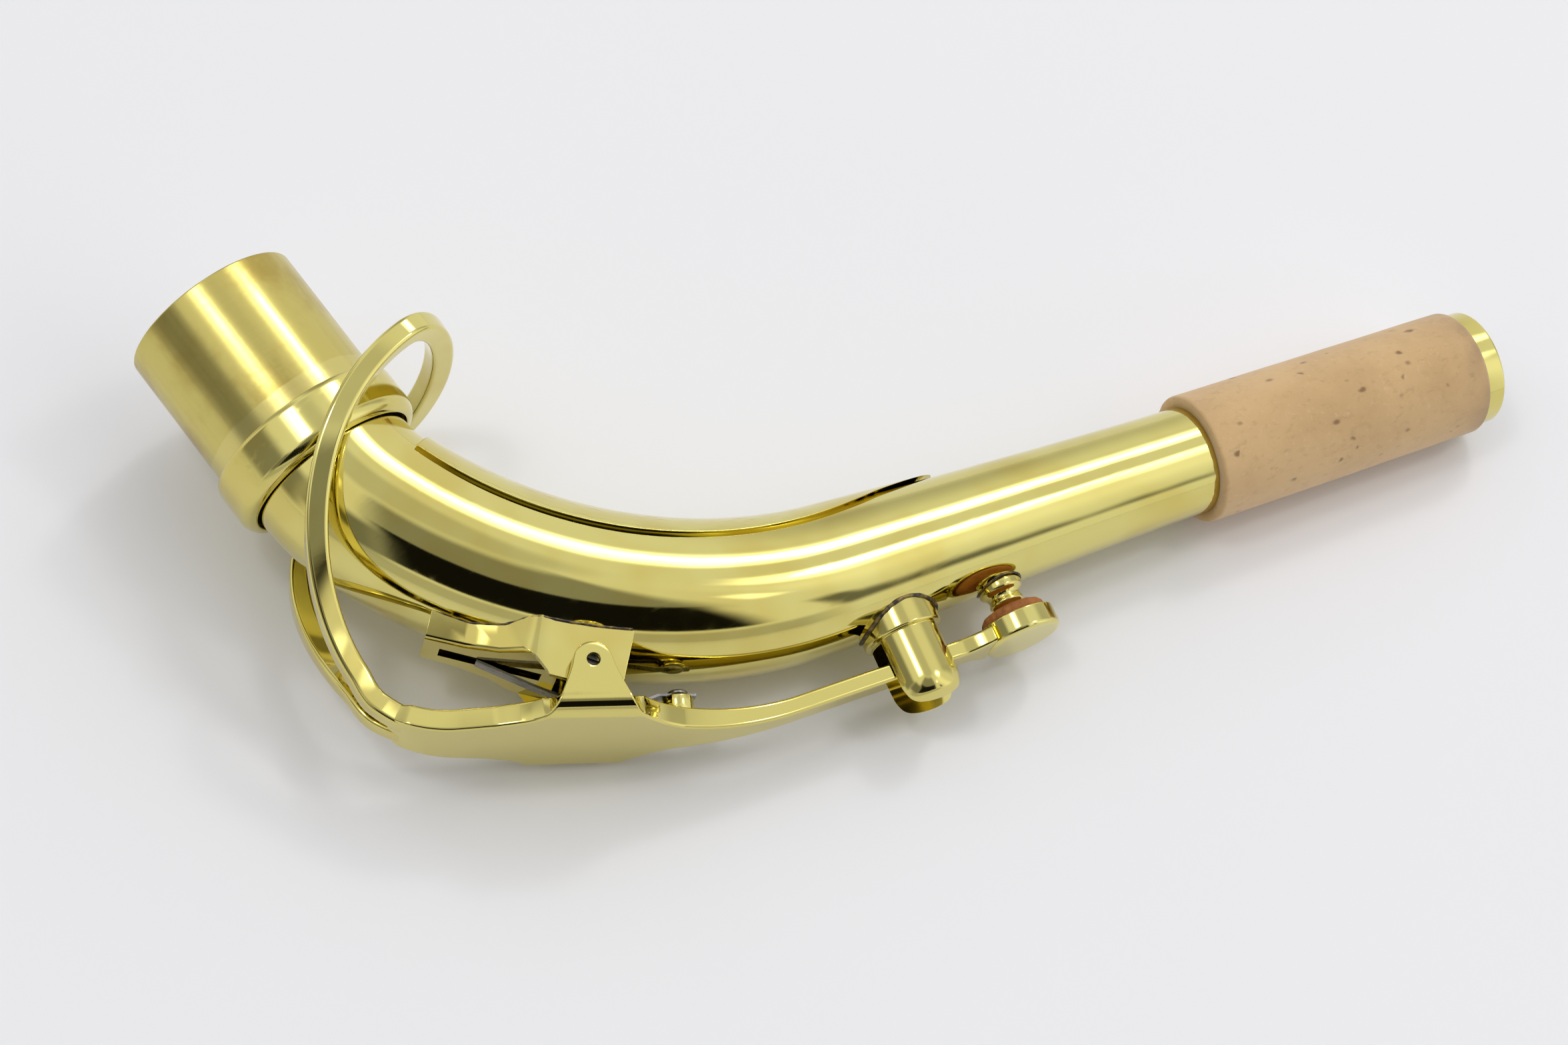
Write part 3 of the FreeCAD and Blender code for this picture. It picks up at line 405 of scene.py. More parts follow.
def rounded(corners, closed=True, steps=4):
    """(x, y, radius) corners as a polyline with each corner rounded by a short curve."""
    count = len(corners)
    line = []
    for i, (x, y, radius) in enumerate(corners):
        here = Vector((x, y))
        if not closed and i in (0, count - 1):
            line.append((x, y))
            continue
        before = Vector(corners[i - 1][:2]) - here
        after = Vector(corners[(i + 1) % count][:2]) - here
        reach = min(radius, before.length * 0.46, after.length * 0.46)
        if reach < 1e-4:
            line.append((x, y))
            continue
        start, end = here + before.normalized() * reach, here + after.normalized() * reach
        for k in range(steps + 1):
            t = k / steps
            spot = start * (1 - t) ** 2 + here * 2 * t * (1 - t) + end * t * t
            line.append((spot.x, spot.y))
    return line


def grid_faces(rows, columns, wrap_rows=False, wrap_columns=True):
    faces = []
    for i in range(rows if wrap_rows else rows - 1):
        for j in range(columns if wrap_columns else columns - 1):
            a, b = i * columns + j, i * columns + (j + 1) % columns
            c, d = ((i + 1) % rows) * columns + (j + 1) % columns, ((i + 1) % rows) * columns + j
            faces.append((a, b, c, d))
    return faces


def lathe(name, corners, place, material, body, slot, nodes, segments, foot=None, steps=4):
    """A turned piece. corners are (radius, height, rounding). foot gives the height of the lowest
    rings, which stand on the tube, as a function of their local x and y."""
    on_axis = corners[0][0] == 0 and corners[-1][0] == 0
    line = rounded(corners, closed=not on_axis, steps=steps)
    angles = np.linspace(0, 2 * math.pi, segments, endpoint=False)
    verts = []
    for radius, height in line:
        for angle in angles:
            x, y = radius * math.cos(angle), radius * math.sin(angle)
            z = height
            if foot is not None and height <= corners[0][1] + 1e-6:
                z = foot(x, y)
            verts.append((x, y, z))
    faces = grid_faces(len(line), segments, wrap_rows=not on_axis)
    return piece(name, verts, faces, place, material, body, slot, nodes)


def on_tube(distance, sink=0.12):
    """The height of the tube's skin over a point near an outward place."""
    def height(x, y):
        radius = tube_radius(distance + x)
        return math.sqrt(max(radius ** 2 - y * y, 1.0)) - sink
    return height


def tube_ring(distance, radius):
    """A circle round an outward place, laid down on the tube's skin."""
    skin, count = on_tube(distance, 0), 72
    turns = [2 * math.pi * k / count for k in range(count)]
    flat = [(radius * math.cos(t), radius * math.sin(t)) for t in turns]
    return [(x, y, skin(x, y)) for x, y in flat]


def bead(name, spots, radius, place, closed=True):
    """An uneven fillet of solder along a line of points."""
    count, around = len(spots), 8
    points = np.asarray(spots, float)
    verts = []
    for i in range(count):
        ahead = points[(i + 1) % count] - points[i - 1]
        if not closed:
            ahead = points[min(i + 1, count - 1)] - points[max(i - 1, 0)]
        ahead /= np.linalg.norm(ahead)
        side = np.cross(ahead, (0, 0, 1.0))
        side /= np.linalg.norm(side)
        up = np.cross(side, ahead)
        wobble = 1 + 0.35 * noise.noise(Vector(points[i]) * 1.7)
        for k in range(around):
            angle = 2 * math.pi * k / around
            verts.append(points[i] + radius * wobble * (side * math.cos(angle) + up * math.sin(angle)))
    faces = grid_faces(count, around, wrap_rows=closed)
    if not closed:
        faces += [tuple(range(around)), tuple(range((count - 1) * around, count * around))]
    return piece(name, verts, faces, place, SOLDER, "neck", "lacquered_brass")


def round_edges(built, edges, width, segments):
    bmesh.ops.bevel(
        built, geom=edges, offset=width * MM, offset_type="OFFSET", segments=segments,
        profile=0.5, affect="EDGES", clamp_overlap=True,
    )


def refined(name, node, material, body, bevel, angle=28, fold=None, shift=None):
    """A CAD node's own shape with its flat faces rejoined and its edges eased. fold is
    (inverse place, test of an edge's two ends in millimetres, width) for the bent edges;
    shift moves each point of the finished mesh, in metres of the row frame."""
    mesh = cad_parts[node].data.copy()
    mesh.name = name
    built = bmesh.new()
    built.from_mesh(mesh)
    bmesh.ops.remove_doubles(built, verts=built.verts, dist=2e-6)
    coplanar = math.radians(1.2)
    bmesh.ops.dissolve_limit(built, angle_limit=coplanar, verts=built.verts, edges=built.edges)
    bmesh.ops.recalc_face_normals(built, faces=built.faces)
    if fold:
        back, chosen, width = fold
        bent = [e for e in built.edges if chosen(*(back @ (v.co / MM) for v in e.verts))]
        round_edges(built, bent, width, 6)
    sharp = math.radians(angle)
    edges = [e for e in built.edges if len(e.link_faces) == 2 and e.calc_face_angle(0) > sharp]
    round_edges(built, edges, bevel, 3)
    bmesh.ops.recalc_face_normals(built, faces=built.faces)
    if shift:
        for vertex in built.verts:
            vertex.co = shift(vertex.co)
    built.to_mesh(mesh)
    built.free()
    mesh.materials.clear()
    mesh.materials.append(material)
    remember_places(mesh)
    obj = bpy.data.objects.new(name, mesh)
    bpy.context.scene.collection.objects.link(obj)
    dress(obj, body, (node,))
    return obj


def cut(obj, tool_verts, tool_faces, place):
    """Takes a convex block out of a piece, for good."""
    mesh = bpy.data.meshes.new("tool")
    mesh.from_pydata((np.asarray(tool_verts, float) * MM).tolist(), [], tool_faces)
    tool = bpy.data.objects.new("tool", mesh)
    bpy.context.scene.collection.objects.link(tool)
    tool.matrix_world = in_metres(place)
    built = bmesh.new()
    built.from_mesh(mesh)
    bmesh.ops.recalc_face_normals(built, faces=built.faces)
    built.to_mesh(mesh)
    built.free()
    weighted = obj.modifiers.get("weighted")
    if weighted:
        obj.modifiers.remove(weighted)
    boolean = obj.modifiers.new("cut", "BOOLEAN")
    boolean.operation, boolean.solver, boolean.object = "DIFFERENCE", "EXACT", tool
    bpy.context.view_layer.update()
    finished = obj.evaluated_get(bpy.context.evaluated_depsgraph_get())
    result = bpy.data.meshes.new_from_object(finished)
    obj.modifiers.clear()
    old = obj.data
    name = old.name
    obj.data = result
    bpy.data.meshes.remove(old)
    result.name = name
    bpy.data.objects.remove(tool)
    bpy.data.meshes.remove(mesh)
    obj.data.shade_smooth()


def block(x0, x1, y0, y1, z0, z1):
    verts = [(x, y, z) for x in (x0, x1) for y in (y0, y1) for z in (z0, z1)]
    faces = [(0, 1, 3, 2), (4, 6, 7, 5), (0, 4, 5, 1), (2, 3, 7, 6), (0, 2, 6, 4), (1, 5, 7, 3)]
    return verts, faces


def rod(radius, low, high, sides=48):
    verts, faces = [], []
    for z in (low, high):
        for k in range(sides):
            angle = 2 * math.pi * k / sides
            verts.append((radius * math.cos(angle), radius * math.sin(angle), z))
    faces = [(k, (k + 1) % sides, sides + (k + 1) % sides, sides + k) for k in range(sides)]
    faces.append(tuple(range(sides))[::-1])
    faces.append(tuple(range(sides, 2 * sides)))
    return verts, faces


def ease(obj, width, angle):
    """Rounds a piece's remaining sharp edges."""
    soften = obj.modifiers.new("ease", "BEVEL")
    soften.width, soften.segments = width * MM, 3
    soften.limit_method, soften.angle_limit = "ANGLE", math.radians(angle)
    soften.miter_outer = "MITER_ARC"
    weighted = obj.modifiers.new("weighted", "WEIGHTED_NORMAL")
    weighted.weight = 80


# ---------------------------------------------------------------- neck tube
def make_tube():
    stations = np.linspace(TUBE_START, TUBE_END, 240)
    around = 144
    verts = []
    for inset in (0.0, TUBE_WALL):
        for distance in stations[:: 1 if inset == 0 else -1]:
            place = station(distance)
            radius = tube_radius(distance) - inset
            for k in range(around):
                angle = 2 * math.pi * k / around
                verts.append(place @ Vector((0, radius * math.cos(angle), radius * math.sin(angle))))
    faces = grid_faces(2 * len(stations), around, wrap_rows=True)
    piece(
        "neck_tube_skin", verts, faces, Matrix(), BRASS, "neck", "lacquered_brass", ("neck_tube",)
    )


make_tube()

# ---------------------------------------------------------------- tenon and collar
TENON, TENON_SEAT, TENON_LENGTH = 12.25, 12.0, 26.6
COLLAR, COLLAR_START = 13.5, 20.4
lathe(
    "tenon_turned",
    [
        (TUBE_RADIUS, 0, 0.12), (TENON, 0, 0.22), (TENON, COLLAR_START, 0),
        (TENON_SEAT, COLLAR_START, 0), (TENON_SEAT, TENON_LENGTH, 0), (TUBE_RADIUS, TENON_LENGTH, 0),
    ],
    along(0), TURNED, "neck", "bare_brass", ("tenon_sleeve",), 192,
)
lathe(
    "collar_turned",
    [
        (TENON_SEAT, COLLAR_START, 0), (COLLAR - 0.2, COLLAR_START, 0.35),
        (COLLAR, COLLAR_START + 0.6, 0.25), (COLLAR, TENON_RUN - 1.2, 0.5),
        (12.9, 26.9, 0.45), (12.1, TENON_RUN, 0.15), (11.8, TENON_RUN, 0.1),
        (11.8, TENON_LENGTH, 0), (TENON_SEAT, TENON_LENGTH, 0),
    ],
    along(0), SATIN, "neck", "lacquered_brass", ("tenon_collar",), 192,
)

# ---------------------------------------------------------------- cork and tip ring
CORK_RADIUS, CORK_TAPER = 9.0, 0.12
PORES, PORE_DEPTH = 120, 0.13
SOILED_FROM, SOILED_FADE = 5.5, 6.0


def cork_pores(h, a):
    """How deep each point of the cork lies in a pore, 0 to 1, from its height and its angle."""
    dice = random.Random(11)
    pores = [
        (
            dice.uniform(2, CORK_LENGTH - 1), dice.uniform(0, 2 * math.pi),
            dice.uniform(0.16, 0.42), dice.uniform(0.8, 2.0), dice.uniform(0.4, 1.0),
        )
        for _ in range(PORES)
    ]
    depth = np.zeros_like(h)
    for at, turn, size, longer, deep in pores:
        across = ((a - turn + math.pi) % (2 * math.pi) - math.pi) * CORK_RADIUS
        gone = np.sqrt((across / size) ** 2 + ((h - at) / (size * longer)) ** 2)
        depth = np.maximum(depth, deep * np.clip(1.25 - gone, 0, 1))
    return depth


def paint_cork(obj, outer, depth):
    """Marks the pores and the soiled tip end on the finished mesh, for the material."""
    local = np.zeros(len(obj.data.vertices) * 3, np.float32)
    obj.data.attributes["local"].data.foreach_get("vector", local)
    points = local.reshape(-1, 3) / MM
    depth_at = {tuple(np.round(p, 3)): d for p, d in zip(outer, depth.reshape(-1))}
    pore = np.zeros(len(points), np.float32)
    soiled = np.zeros(len(points), np.float32)
    for i, p in enumerate(points):
        pore[i] = min(1.0, float(depth_at.get(tuple(np.round(p, 3)), 0.0)) * 1.3)
        wear = 0.5 + 0.5 * noise.noise(Vector(p) * 0.35)
        near_tip = max(0.0, min(1.0, (p[2] - CORK_LENGTH + SOILED_FROM) / SOILED_FADE))
        soiled[i] = near_tip ** 1.5 * wear * 0.8
    for key, values in (("pore", pore), ("soiled", soiled)):
        obj.data.attributes.new(key, "FLOAT", "POINT").data.foreach_set("value", values)


def make_cork():
    """A slightly tapered sleeve of cork with pores sunk into it and softened ends."""
    rows, around, bore_rows = 230, 270, 12
    heights = np.linspace(0, CORK_LENGTH, rows)
    ring = np.arange(around) * 2 * math.pi / around
    h, a = np.meshgrid(heights, ring, indexing="ij")
    low, high = CORK_RADIUS + CORK_TAPER, CORK_RADIUS - CORK_TAPER
    radius = low + (high - low) * h / CORK_LENGTH
    ends = np.minimum(h, CORK_LENGTH - h)
    radius -= 0.25 * np.clip(1 - ends / 0.45, 0, 1) ** 2
    circle = [(math.cos(t), math.sin(t)) for t in ring]
    waver = [[noise.noise(Vector((x * 2, y * 2, z * 0.12))) for x, y in circle] for z in heights]
    ragged = np.array([noise.noise(Vector((x * 5, y * 5, 3.0))) for x, y in circle])
    depth = cork_pores(h, a)
    radius += 0.05 * np.array(waver) - PORE_DEPTH * depth
    height = h + np.where(h < 1.0, 1 - h, 0) * (0.25 * ragged)[None, :]
    height = np.clip(height, 0.0, CORK_LENGTH)
    outer = np.stack([radius * np.cos(a), radius * np.sin(a), height], -1).reshape(-1, 3)
    inner = []
    for z in np.linspace(CORK_LENGTH, 0, bore_rows):
        bore = tube_radius(CORK_START + z)
        inner += [(bore * x, bore * y, z) for x, y in circle]
    verts = np.concatenate([outer, np.array(inner)])
    faces = grid_faces(rows + bore_rows, around, wrap_rows=True)
    obj = piece(
        "neck_cork_sleeve", verts, faces, along(CORK_START), CORK, "neck", "cork", ("neck_cork",), False
    )
    paint_cork(obj, outer, depth)


make_cork()
RING_RADIUS, RING_LENGTH, RING_BORE = 8.15, 3.0, 6.5
lathe(
    "tip_ring_turned",
    [
        (TUBE_END_RADIUS, 0, 0), (RING_RADIUS, 0, 0.25), (RING_RADIUS, RING_LENGTH, 0.4),
        (RING_BORE, RING_LENGTH, 0.3), (RING_BORE, TIP_LENGTH, 0), (TUBE_END_RADIUS, TIP_LENGTH, 0),
    ],
    along(CORK_END), BRASS, "neck", "lacquered_brass", ("tip_ring",), 160,
)

# ---------------------------------------------------------------- octave pip
# Heights of everything on an outward place are measured from the tube's centreline.
PIP_FOOT, VENT, PIP_BASE, PIP_TOP = 3.05, 0.8, 7.6, 12.0
lathe(
    "octave_pip_turned",
    [
        (VENT, PIP_BASE, 0), (PIP_FOOT, PIP_BASE, 0), (PIP_FOOT, 8.9, 0.3), (3.0, 9.4, 0.5),
        (2.35, 9.9, 0.5), (2.15, 10.5, 0.5), (2.5, 11.1, 0.4), (2.1, 11.6, 0.3),
        (1.8, PIP_TOP, 0.12), (VENT, PIP_TOP, 0.1),
    ],
    outward(PIP), BRASS, "neck", "lacquered_brass", ("octave_pip",), 96,
    foot=on_tube(PIP),
)
bead("octave_pip_seam", tube_ring(PIP, PIP_FOOT + 0.1), 0.17, outward(PIP))

# ---------------------------------------------------------------- forked guide
GUIDE_FOOT, GUIDE_BARREL, GUIDE_BASE, GUIDE_TOP = 5.5, 4.74, 7.7, 21.0
FORK_HALF, FORK_FLOOR = 2.15, 11.4
guide = lathe(
    "key_guide_fork",
    [
        (0, GUIDE_BASE, 0), (GUIDE_FOOT, GUIDE_BASE, 0), (GUIDE_FOOT, 10.9, 0.35),
        (GUIDE_BARREL, 10.95, 0.15), (GUIDE_BARREL, 18.4, 1.6), (4.1, 20.3, 1.4),
        (2.2, GUIDE_TOP, 1.2), (0, GUIDE_TOP, 0),
    ],
    outward(GUIDE), SATIN, "neck", "lacquered_brass", ("key_guide",), 144,
    foot=on_tube(GUIDE), steps=7,
)
cut(guide, *block(-7, 7, -FORK_HALF, FORK_HALF, FORK_FLOOR, GUIDE_TOP + 1), outward(GUIDE))
ease(guide, 0.22, 50)
bead("key_guide_seam", tube_ring(GUIDE, GUIDE_FOOT + 0.12), 0.26, outward(GUIDE))

# ---------------------------------------------------------------- saddle, brace, hinge, spring
SADDLE_BACK = outward(SADDLE).inverted() @ REST.inverted()
SADDLE_TOP, SLOT_HALF, SADDLE_PLATE_HALF = 12.65, 1.3, 2.6
WIDE_LEAN, NARROW_LEAN = 0.35, 1.0


def saddle_fold(a, b):
    """The long edges where the saddle's plate bends down into its side walls."""
    level = max(abs(a.z - SADDLE_TOP), abs(b.z - SADDLE_TOP)) < 0.03
    outside = min(abs(a.y), abs(b.y)) > SADDLE_PLATE_HALF and a.y * b.y > 0
    return level and outside and max(a.x, b.x) < 0.3


def saddle_lean(co):
    """Leans the walls outwards to a flared foot that still meets the tube, most at the
    saddle's narrow end."""
    p = SADDLE_BACK @ (co / MM)
    under_plate = SADDLE_TOP - 0.15 - p.z
    if abs(p.y) > SLOT_HALF and under_plate > 0:
        narrow = min(1.0, max(0.0, (2.0 - p.x) / 5.0))
        down = min(1.0, under_plate / 2.2)
        out = (WIDE_LEAN + (NARROW_LEAN - WIDE_LEAN) * narrow) * down
        skin = on_tube(SADDLE, 0)
        drop = skin(p.x, p.y) - skin(p.x, abs(p.y) + out)
        p.y += math.copysign(out, p.y)
        p.z -= drop * down
    return SADDLE_BACK.inverted() @ p * MM


refined(
    "key_saddle_sheet", "key_saddle", BRASS, "neck", 0.14,
    fold=(SADDLE_BACK, saddle_fold, 1.1), shift=saddle_lean,
)


def make_saddle_seam():
    """A bead down one leaning wall, round the saddle's narrow end and back up the other wall."""
    xs, halves = [-13.6, -8.5, -4.25, -1.5, 0.0, 11.9], [4.35, 4.65, 6.0, 7.6, 7.9, 7.85]
    wall = [(x, float(np.interp(x, xs, halves))) for x in np.linspace(11.6, -13.7, 60)]
    end = [(-13.75, y) for y in np.linspace(3.2, -3.2, 10)]
    skin = on_tube(SADDLE, 0.05)
    seam = wall + end + [(x, -y) for x, y in reversed(wall)]
    spots = [(x, y, skin(x, y) - x * x / 2 / BEND_TWO) for x, y in seam]
    bead("key_saddle_seam", spots, 0.2, outward(SADDLE), closed=False)


make_saddle_seam()
BRACE_SINK = 0.3
CENTRELINE = [REST @ station(d).translation * MM for d in np.linspace(TUBE_START, TUBE_END, 400)]


def brace_sink(co):
    """Presses the brace's leaf closer to the tube."""
    middle = min(CENTRELINE, key=lambda c: (c - co).length_squared)
    return co - (co - middle).normalized() * BRACE_SINK * MM


refined("brace_leaf", "underslung_brace", BRASS, "neck", 0.12, 40, shift=brace_sink)
refined("octave_spring_leaf", "octave_spring", STEEL, "key", 0.05, 50)
refined("hinge_tube_turned", "hinge_tube", SATIN, "neck", 0.08, 50)
refined("hinge_screw_turned", "hinge_screw", OILED_STEEL, "key", 0.08, 50)
PAD_BACK = outward(PIP).inverted() @ REST.inverted()
FELT_SHARE, FELT_FACE = 0.92, 12.45


def felt_shrink(co):
    """Leaves room for the leather's pleats round the felt."""
    p = PAD_BACK @ (co / MM)
    p.x, p.y = p.x * FELT_SHARE, p.y * FELT_SHARE
    p.z = max(p.z, FELT_FACE)
    return PAD_BACK.inverted() @ p * MM


refined("pad_felt_disc", "pad_felt", FELT, "key", 0.1, 50, shift=felt_shrink)
refined("pad_card_disc", "pad_card", CARD, "key", 0.05, 50)
POST_RADIUS, POST_FOOT, POST_TOP = 2.05, 16.1, 13.35
SHANK, SHANK_END, SHANK_TOP = 0.7, 15.15, 13.0
lathe(
    "spring_post_turned",
    [
        (0, POST_FOOT, 0), (POST_RADIUS, POST_FOOT, 0), (POST_RADIUS, POST_TOP, 0.25),
        (SHANK, POST_TOP, 0), (SHANK, SHANK_END, 0), (0, SHANK_END, 0),
    ],
    outward(POST), BRASS, "key", "lacquered_brass", ("spring_post",), 64,
)
lathe(
    "spring_screw_dome",
    [
        (0, SHANK_END, 0), (SHANK, SHANK_END, 0), (SHANK, SHANK_TOP, 0), (1.35, SHANK_TOP, 0.08),
        (1.35, 12.62, 0.15), (0.85, 12.32, 0.3), (0, 12.25, 0),
    ],
    outward(POST), STEEL, "key", "steel", ("spring_screw",), 64,
)

# ---------------------------------------------------------------- octave key: loop
LOOP_CENTRE, LOOP_RADIUS = Vector((52.2, 15.4, 0)), 30.3
APEX, LOOP_END = 170.7, 281.0
LOOP_HALF, LOOP_END_HALF, LOOP_NOSE = 17.8, 2.2, 8.0
LOOP_EXTRA = {1: 1.7, -1: 1.8}
LOOP_WIDTH, LOOP_WIDTH_LESS, LOOP_THICK_HALF, LOOP_ROUNDING = 3.2, 0.4, 1.43, 0.62
TAIL_STEP, TAIL_DEGREES, TAIL_HALVES = 0.6, [0, 6, 13], [LOOP_END_HALF, 1.75, 1.4]


def loop_branch(side):
    """Mid-line points of one branch, from the apex to the bridge."""
    full = LOOP_RADIUS * math.radians(LOOP_END - APEX)
    nose_steps, run_steps = 28, 72
    points = []
    for k in range(nose_steps):
        a = math.pi / 2 * k / nose_steps
        points.append((LOOP_NOSE * (1 - math.cos(a)), LOOP_HALF * math.sin(a)))
    for k in range(run_steps + 1):
        share = k / run_steps
        fall = share ** 2 * (3 - 2 * share)
        extra = LOOP_EXTRA[side] * math.sin(math.pi * share) ** 2
        half = LOOP_HALF + extra + (LOOP_END_HALF - LOOP_HALF) * fall
        points.append((LOOP_NOSE + (full - LOOP_NOSE) * share, half))
    return [(APEX + math.degrees(arc / LOOP_RADIUS), half * side) for arc, half in points]


def loop_spot(turn):
    """Mid-line of the loop's bar in plan and its outer side, running on into the lever."""
    angle = math.radians(turn)
    outer = Vector((math.cos(angle), math.sin(angle), 0))
    spot = LOOP_CENTRE + outer * LOOP_RADIUS
    share = min(1.0, max(0.0, (turn - 270) / (LOOP_END - 270)))
    share *= share * (3 - 2 * share)
    if share:
        along_lever = max(0.0, LOOP_RADIUS * math.radians(turn - LEVER_MEETS))
        place = walk(LEVER_RUNS, along_lever, LEVER_TURN, *LEVER_START)
        spot = spot.lerp(place @ Vector((0, KEY_THICK / 2, 0)), share)
        outer = outer.lerp(-place.to_3x3().col[1], share).normalized()
    return spot, outer


def loop_tail(side):
    """Mid-line points of one branch after it has run into the bridge."""
    ends = np.arange(TAIL_STEP, TAIL_DEGREES[-1] + 0.2, TAIL_STEP)
    return [(LOOP_END + d, side * float(np.interp(d, TAIL_DEGREES, TAIL_HALVES))) for d in ends]


def loop_section(turn):
    """The rounded bar's outline, narrower away from the apex."""
    share = min(1.0, (turn - APEX) / 25.0)
    thick, half = LOOP_THICK_HALF, (LOOP_WIDTH - LOOP_WIDTH_LESS * share) / 2
    corners = [(thick, half), (-thick, half), (-thick, -half), (thick, -half)]
    return rounded([(out, side, LOOP_ROUNDING) for out, side in corners], steps=5)


def make_loop():
    """One bar swept from the bridge round the apex and back to the bridge."""
    path = loop_tail(1)[::-1] + loop_branch(1)[::-1] + loop_branch(-1)[1:] + loop_tail(-1)
    spots = np.array([(*loop_spot(t)[0].to_2d(), z) for t, z in path])
    ahead = np.gradient(spots, axis=0)
    ahead /= np.linalg.norm(ahead, axis=1)[:, None]
    verts = []
    for (turn, _), spot, tangent in zip(path, spots, ahead):
        radial = np.array(loop_spot(turn)[1])
        across = np.cross(tangent, radial)
        across /= np.linalg.norm(across)
        for out, side in loop_section(turn):
            verts.append(spot + radial * out + across * side)
    count = len(loop_section(APEX))
    faces = grid_faces(len(path), count)
    faces.append(tuple(range(count)))
    faces.append(tuple(range((len(path) - 1) * count, len(path) * count)))
    return verts, faces


# ---------------------------------------------------------------- octave key: lever
SLOPE, REACH = math.radians(57.5), 7.0
LEVER_START, LEVER_TURN = (54.0, -17.1), math.radians(7.0)
KEY_THICK, ARM_THICK, ARM_HALF = 2.9, 2.3, 1.85
LEVER_MEETS, LEVER_FROM, LEVER_BLEND, LEVER_NARROW = 272.95, 6.0, 2.5, 0.8
BRIDGE_BEND, BRIDGE_RUN = 17.2, 28.8
ARM_BEND, ARM_TURN, ARM_RUN = 52.7, math.radians(17.6), 30.0
LEVER_RUNS = [
    (BRIDGE_BEND * (SLOPE - LEVER_TURN), BRIDGE_BEND),
    (BRIDGE_RUN, 0.0),
    (ARM_BEND * ARM_TURN, ARM_BEND),
    (ARM_RUN, 0.0),
]
EAR_WALL, EAR_TOP = 2.5, 2.5
BRIDGE_HALF, BEND_OUTER = 10.8, 2.6
FLAT_HALF = BRIDGE_HALF - BEND_OUTER
BEND_LENGTH = BEND_OUTER * math.pi / 2
EAR_CENTRE = FLAT_HALF + BEND_LENGTH + REACH - BEND_OUTER
EAR_RUN, FINE_HALF, FINE_STEP = 16.56, 9.0, 0.08
SHEET_ROUNDING, SHEET_STEPS, EDGE_STEPS = 0.42, 34, 5
HINGE_BORE = 0.9
CUP_RADIUS, CUP_FLARE, CUP_FLARE_RUN = 5.35, 1.5, 4.5


def arc_through(points):
    """y(x) of the circle through three points, taking the branch that holds the middle one."""
    (x1, y1), (x2, y2), (x3, y3) = points
    far1, far2, far3 = (x * x + y * y for x, y in points)
    d = 2 * (x1 * (y2 - y3) + x2 * (y3 - y1) + x3 * (y1 - y2))
    cx = (far1 * (y2 - y3) + far2 * (y3 - y1) + far3 * (y1 - y2)) / d
    cy = (far1 * (x3 - x2) + far2 * (x1 - x3) + far3 * (x2 - x1)) / d
    radius = math.hypot(x1 - cx, y1 - cy)
    sign = 1 if y2 > cy else -1
    return lambda x: cy + sign * math.sqrt(max(radius ** 2 - (x - cx) ** 2, 0))


# Half widths of the unbent sheet at distances from the hinge, towards the pad.
WAIST_END, SHOULDER_END, TAPER_END = -12.0, 12.25, 30.75
SHOULDER_HALF = 4.1
WAIST = arc_through([(-34.0, 2.6), (-19.0, 4.8), (-9.0, 6.5)])
TAPER = arc_through([(SHOULDER_END, SHOULDER_HALF), (19.5, 2.6), (TAPER_END, ARM_HALF)])
EAR_SIDE = [(2.45, EAR_CENTRE + 0.5), (2.62, 16.5), (3.2, 14.9), (4.2, 12.7), (5.1, 10.7)]
EAR_BACK = EAR_SIDE + [(6.2, 8.95), (7.9, 7.45), (-WAIST_END, WAIST(WAIST_END))]
EAR_FRONT = EAR_SIDE + [(6.25, 8.8), (8.0, 7.0), (10.1, 5.35), (SHOULDER_END, SHOULDER_HALF)]


def sheet_reach(x):
    """How far the key's sheet reaches from its middle line, measured round the bend of the ear."""
    if abs(x) < EAR_SIDE[0][0]:
        return EAR_CENTRE + math.sqrt(EAR_TOP ** 2 - x * x)
    if WAIST_END < x < SHOULDER_END:
        outline = EAR_BACK if x < 0 else EAR_FRONT
        return float(smooth_through(abs(x), [p[0] for p in outline], [p[1] for p in outline]))
    if x < 0:
        return WAIST(x)
    return TAPER(x) if x < TAPER_END else ARM_HALF


def sheet_point(along_sheet, thick):
    """The outer and inner skin of the key's sheet at a distance from its middle line."""
    if along_sheet <= FLAT_HALF:
        return Vector((0, along_sheet)), Vector((thick, along_sheet))
    swept = min((along_sheet - FLAT_HALF) / BEND_OUTER, math.pi / 2)
    up = max(0.0, along_sheet - FLAT_HALF - BEND_LENGTH)
    share = swept / (math.pi / 2)
    inner = BEND_OUTER - thick - (EAR_WALL - thick) * share
    centre = Vector((BEND_OUTER + up, FLAT_HALF))
    spoke = Vector((-math.cos(swept), math.sin(swept)))
    return centre + spoke * BEND_OUTER, centre + spoke * inner


def sheet_section(reach, thick):
    """Half of the key's cross-section, outer skin first, round the sheet's edge and back."""
    spots = [(reach - SHEET_ROUNDING) * k / SHEET_STEPS for k in range(SHEET_STEPS + 1)]
    outer, inner = zip(*(sheet_point(spot, thick) for spot in spots))
    through = (inner[-1] - outer[-1]).normalized()
    onward = Vector((-through.y, through.x))
    turns = [math.pi / 2 * k / EDGE_STEPS for k in range(1, EDGE_STEPS + 1)]
    corner = [
        (through * (1 - math.cos(a)) * SHEET_ROUNDING, onward * math.sin(a) * SHEET_ROUNDING) for a in turns
    ]
    edge = [outer[-1] + inwards + on for inwards, on in corner]
    edge += [inner[-1] - inwards + on for inwards, on in reversed(corner)]
    return [*outer, *edge, *reversed(inner)]


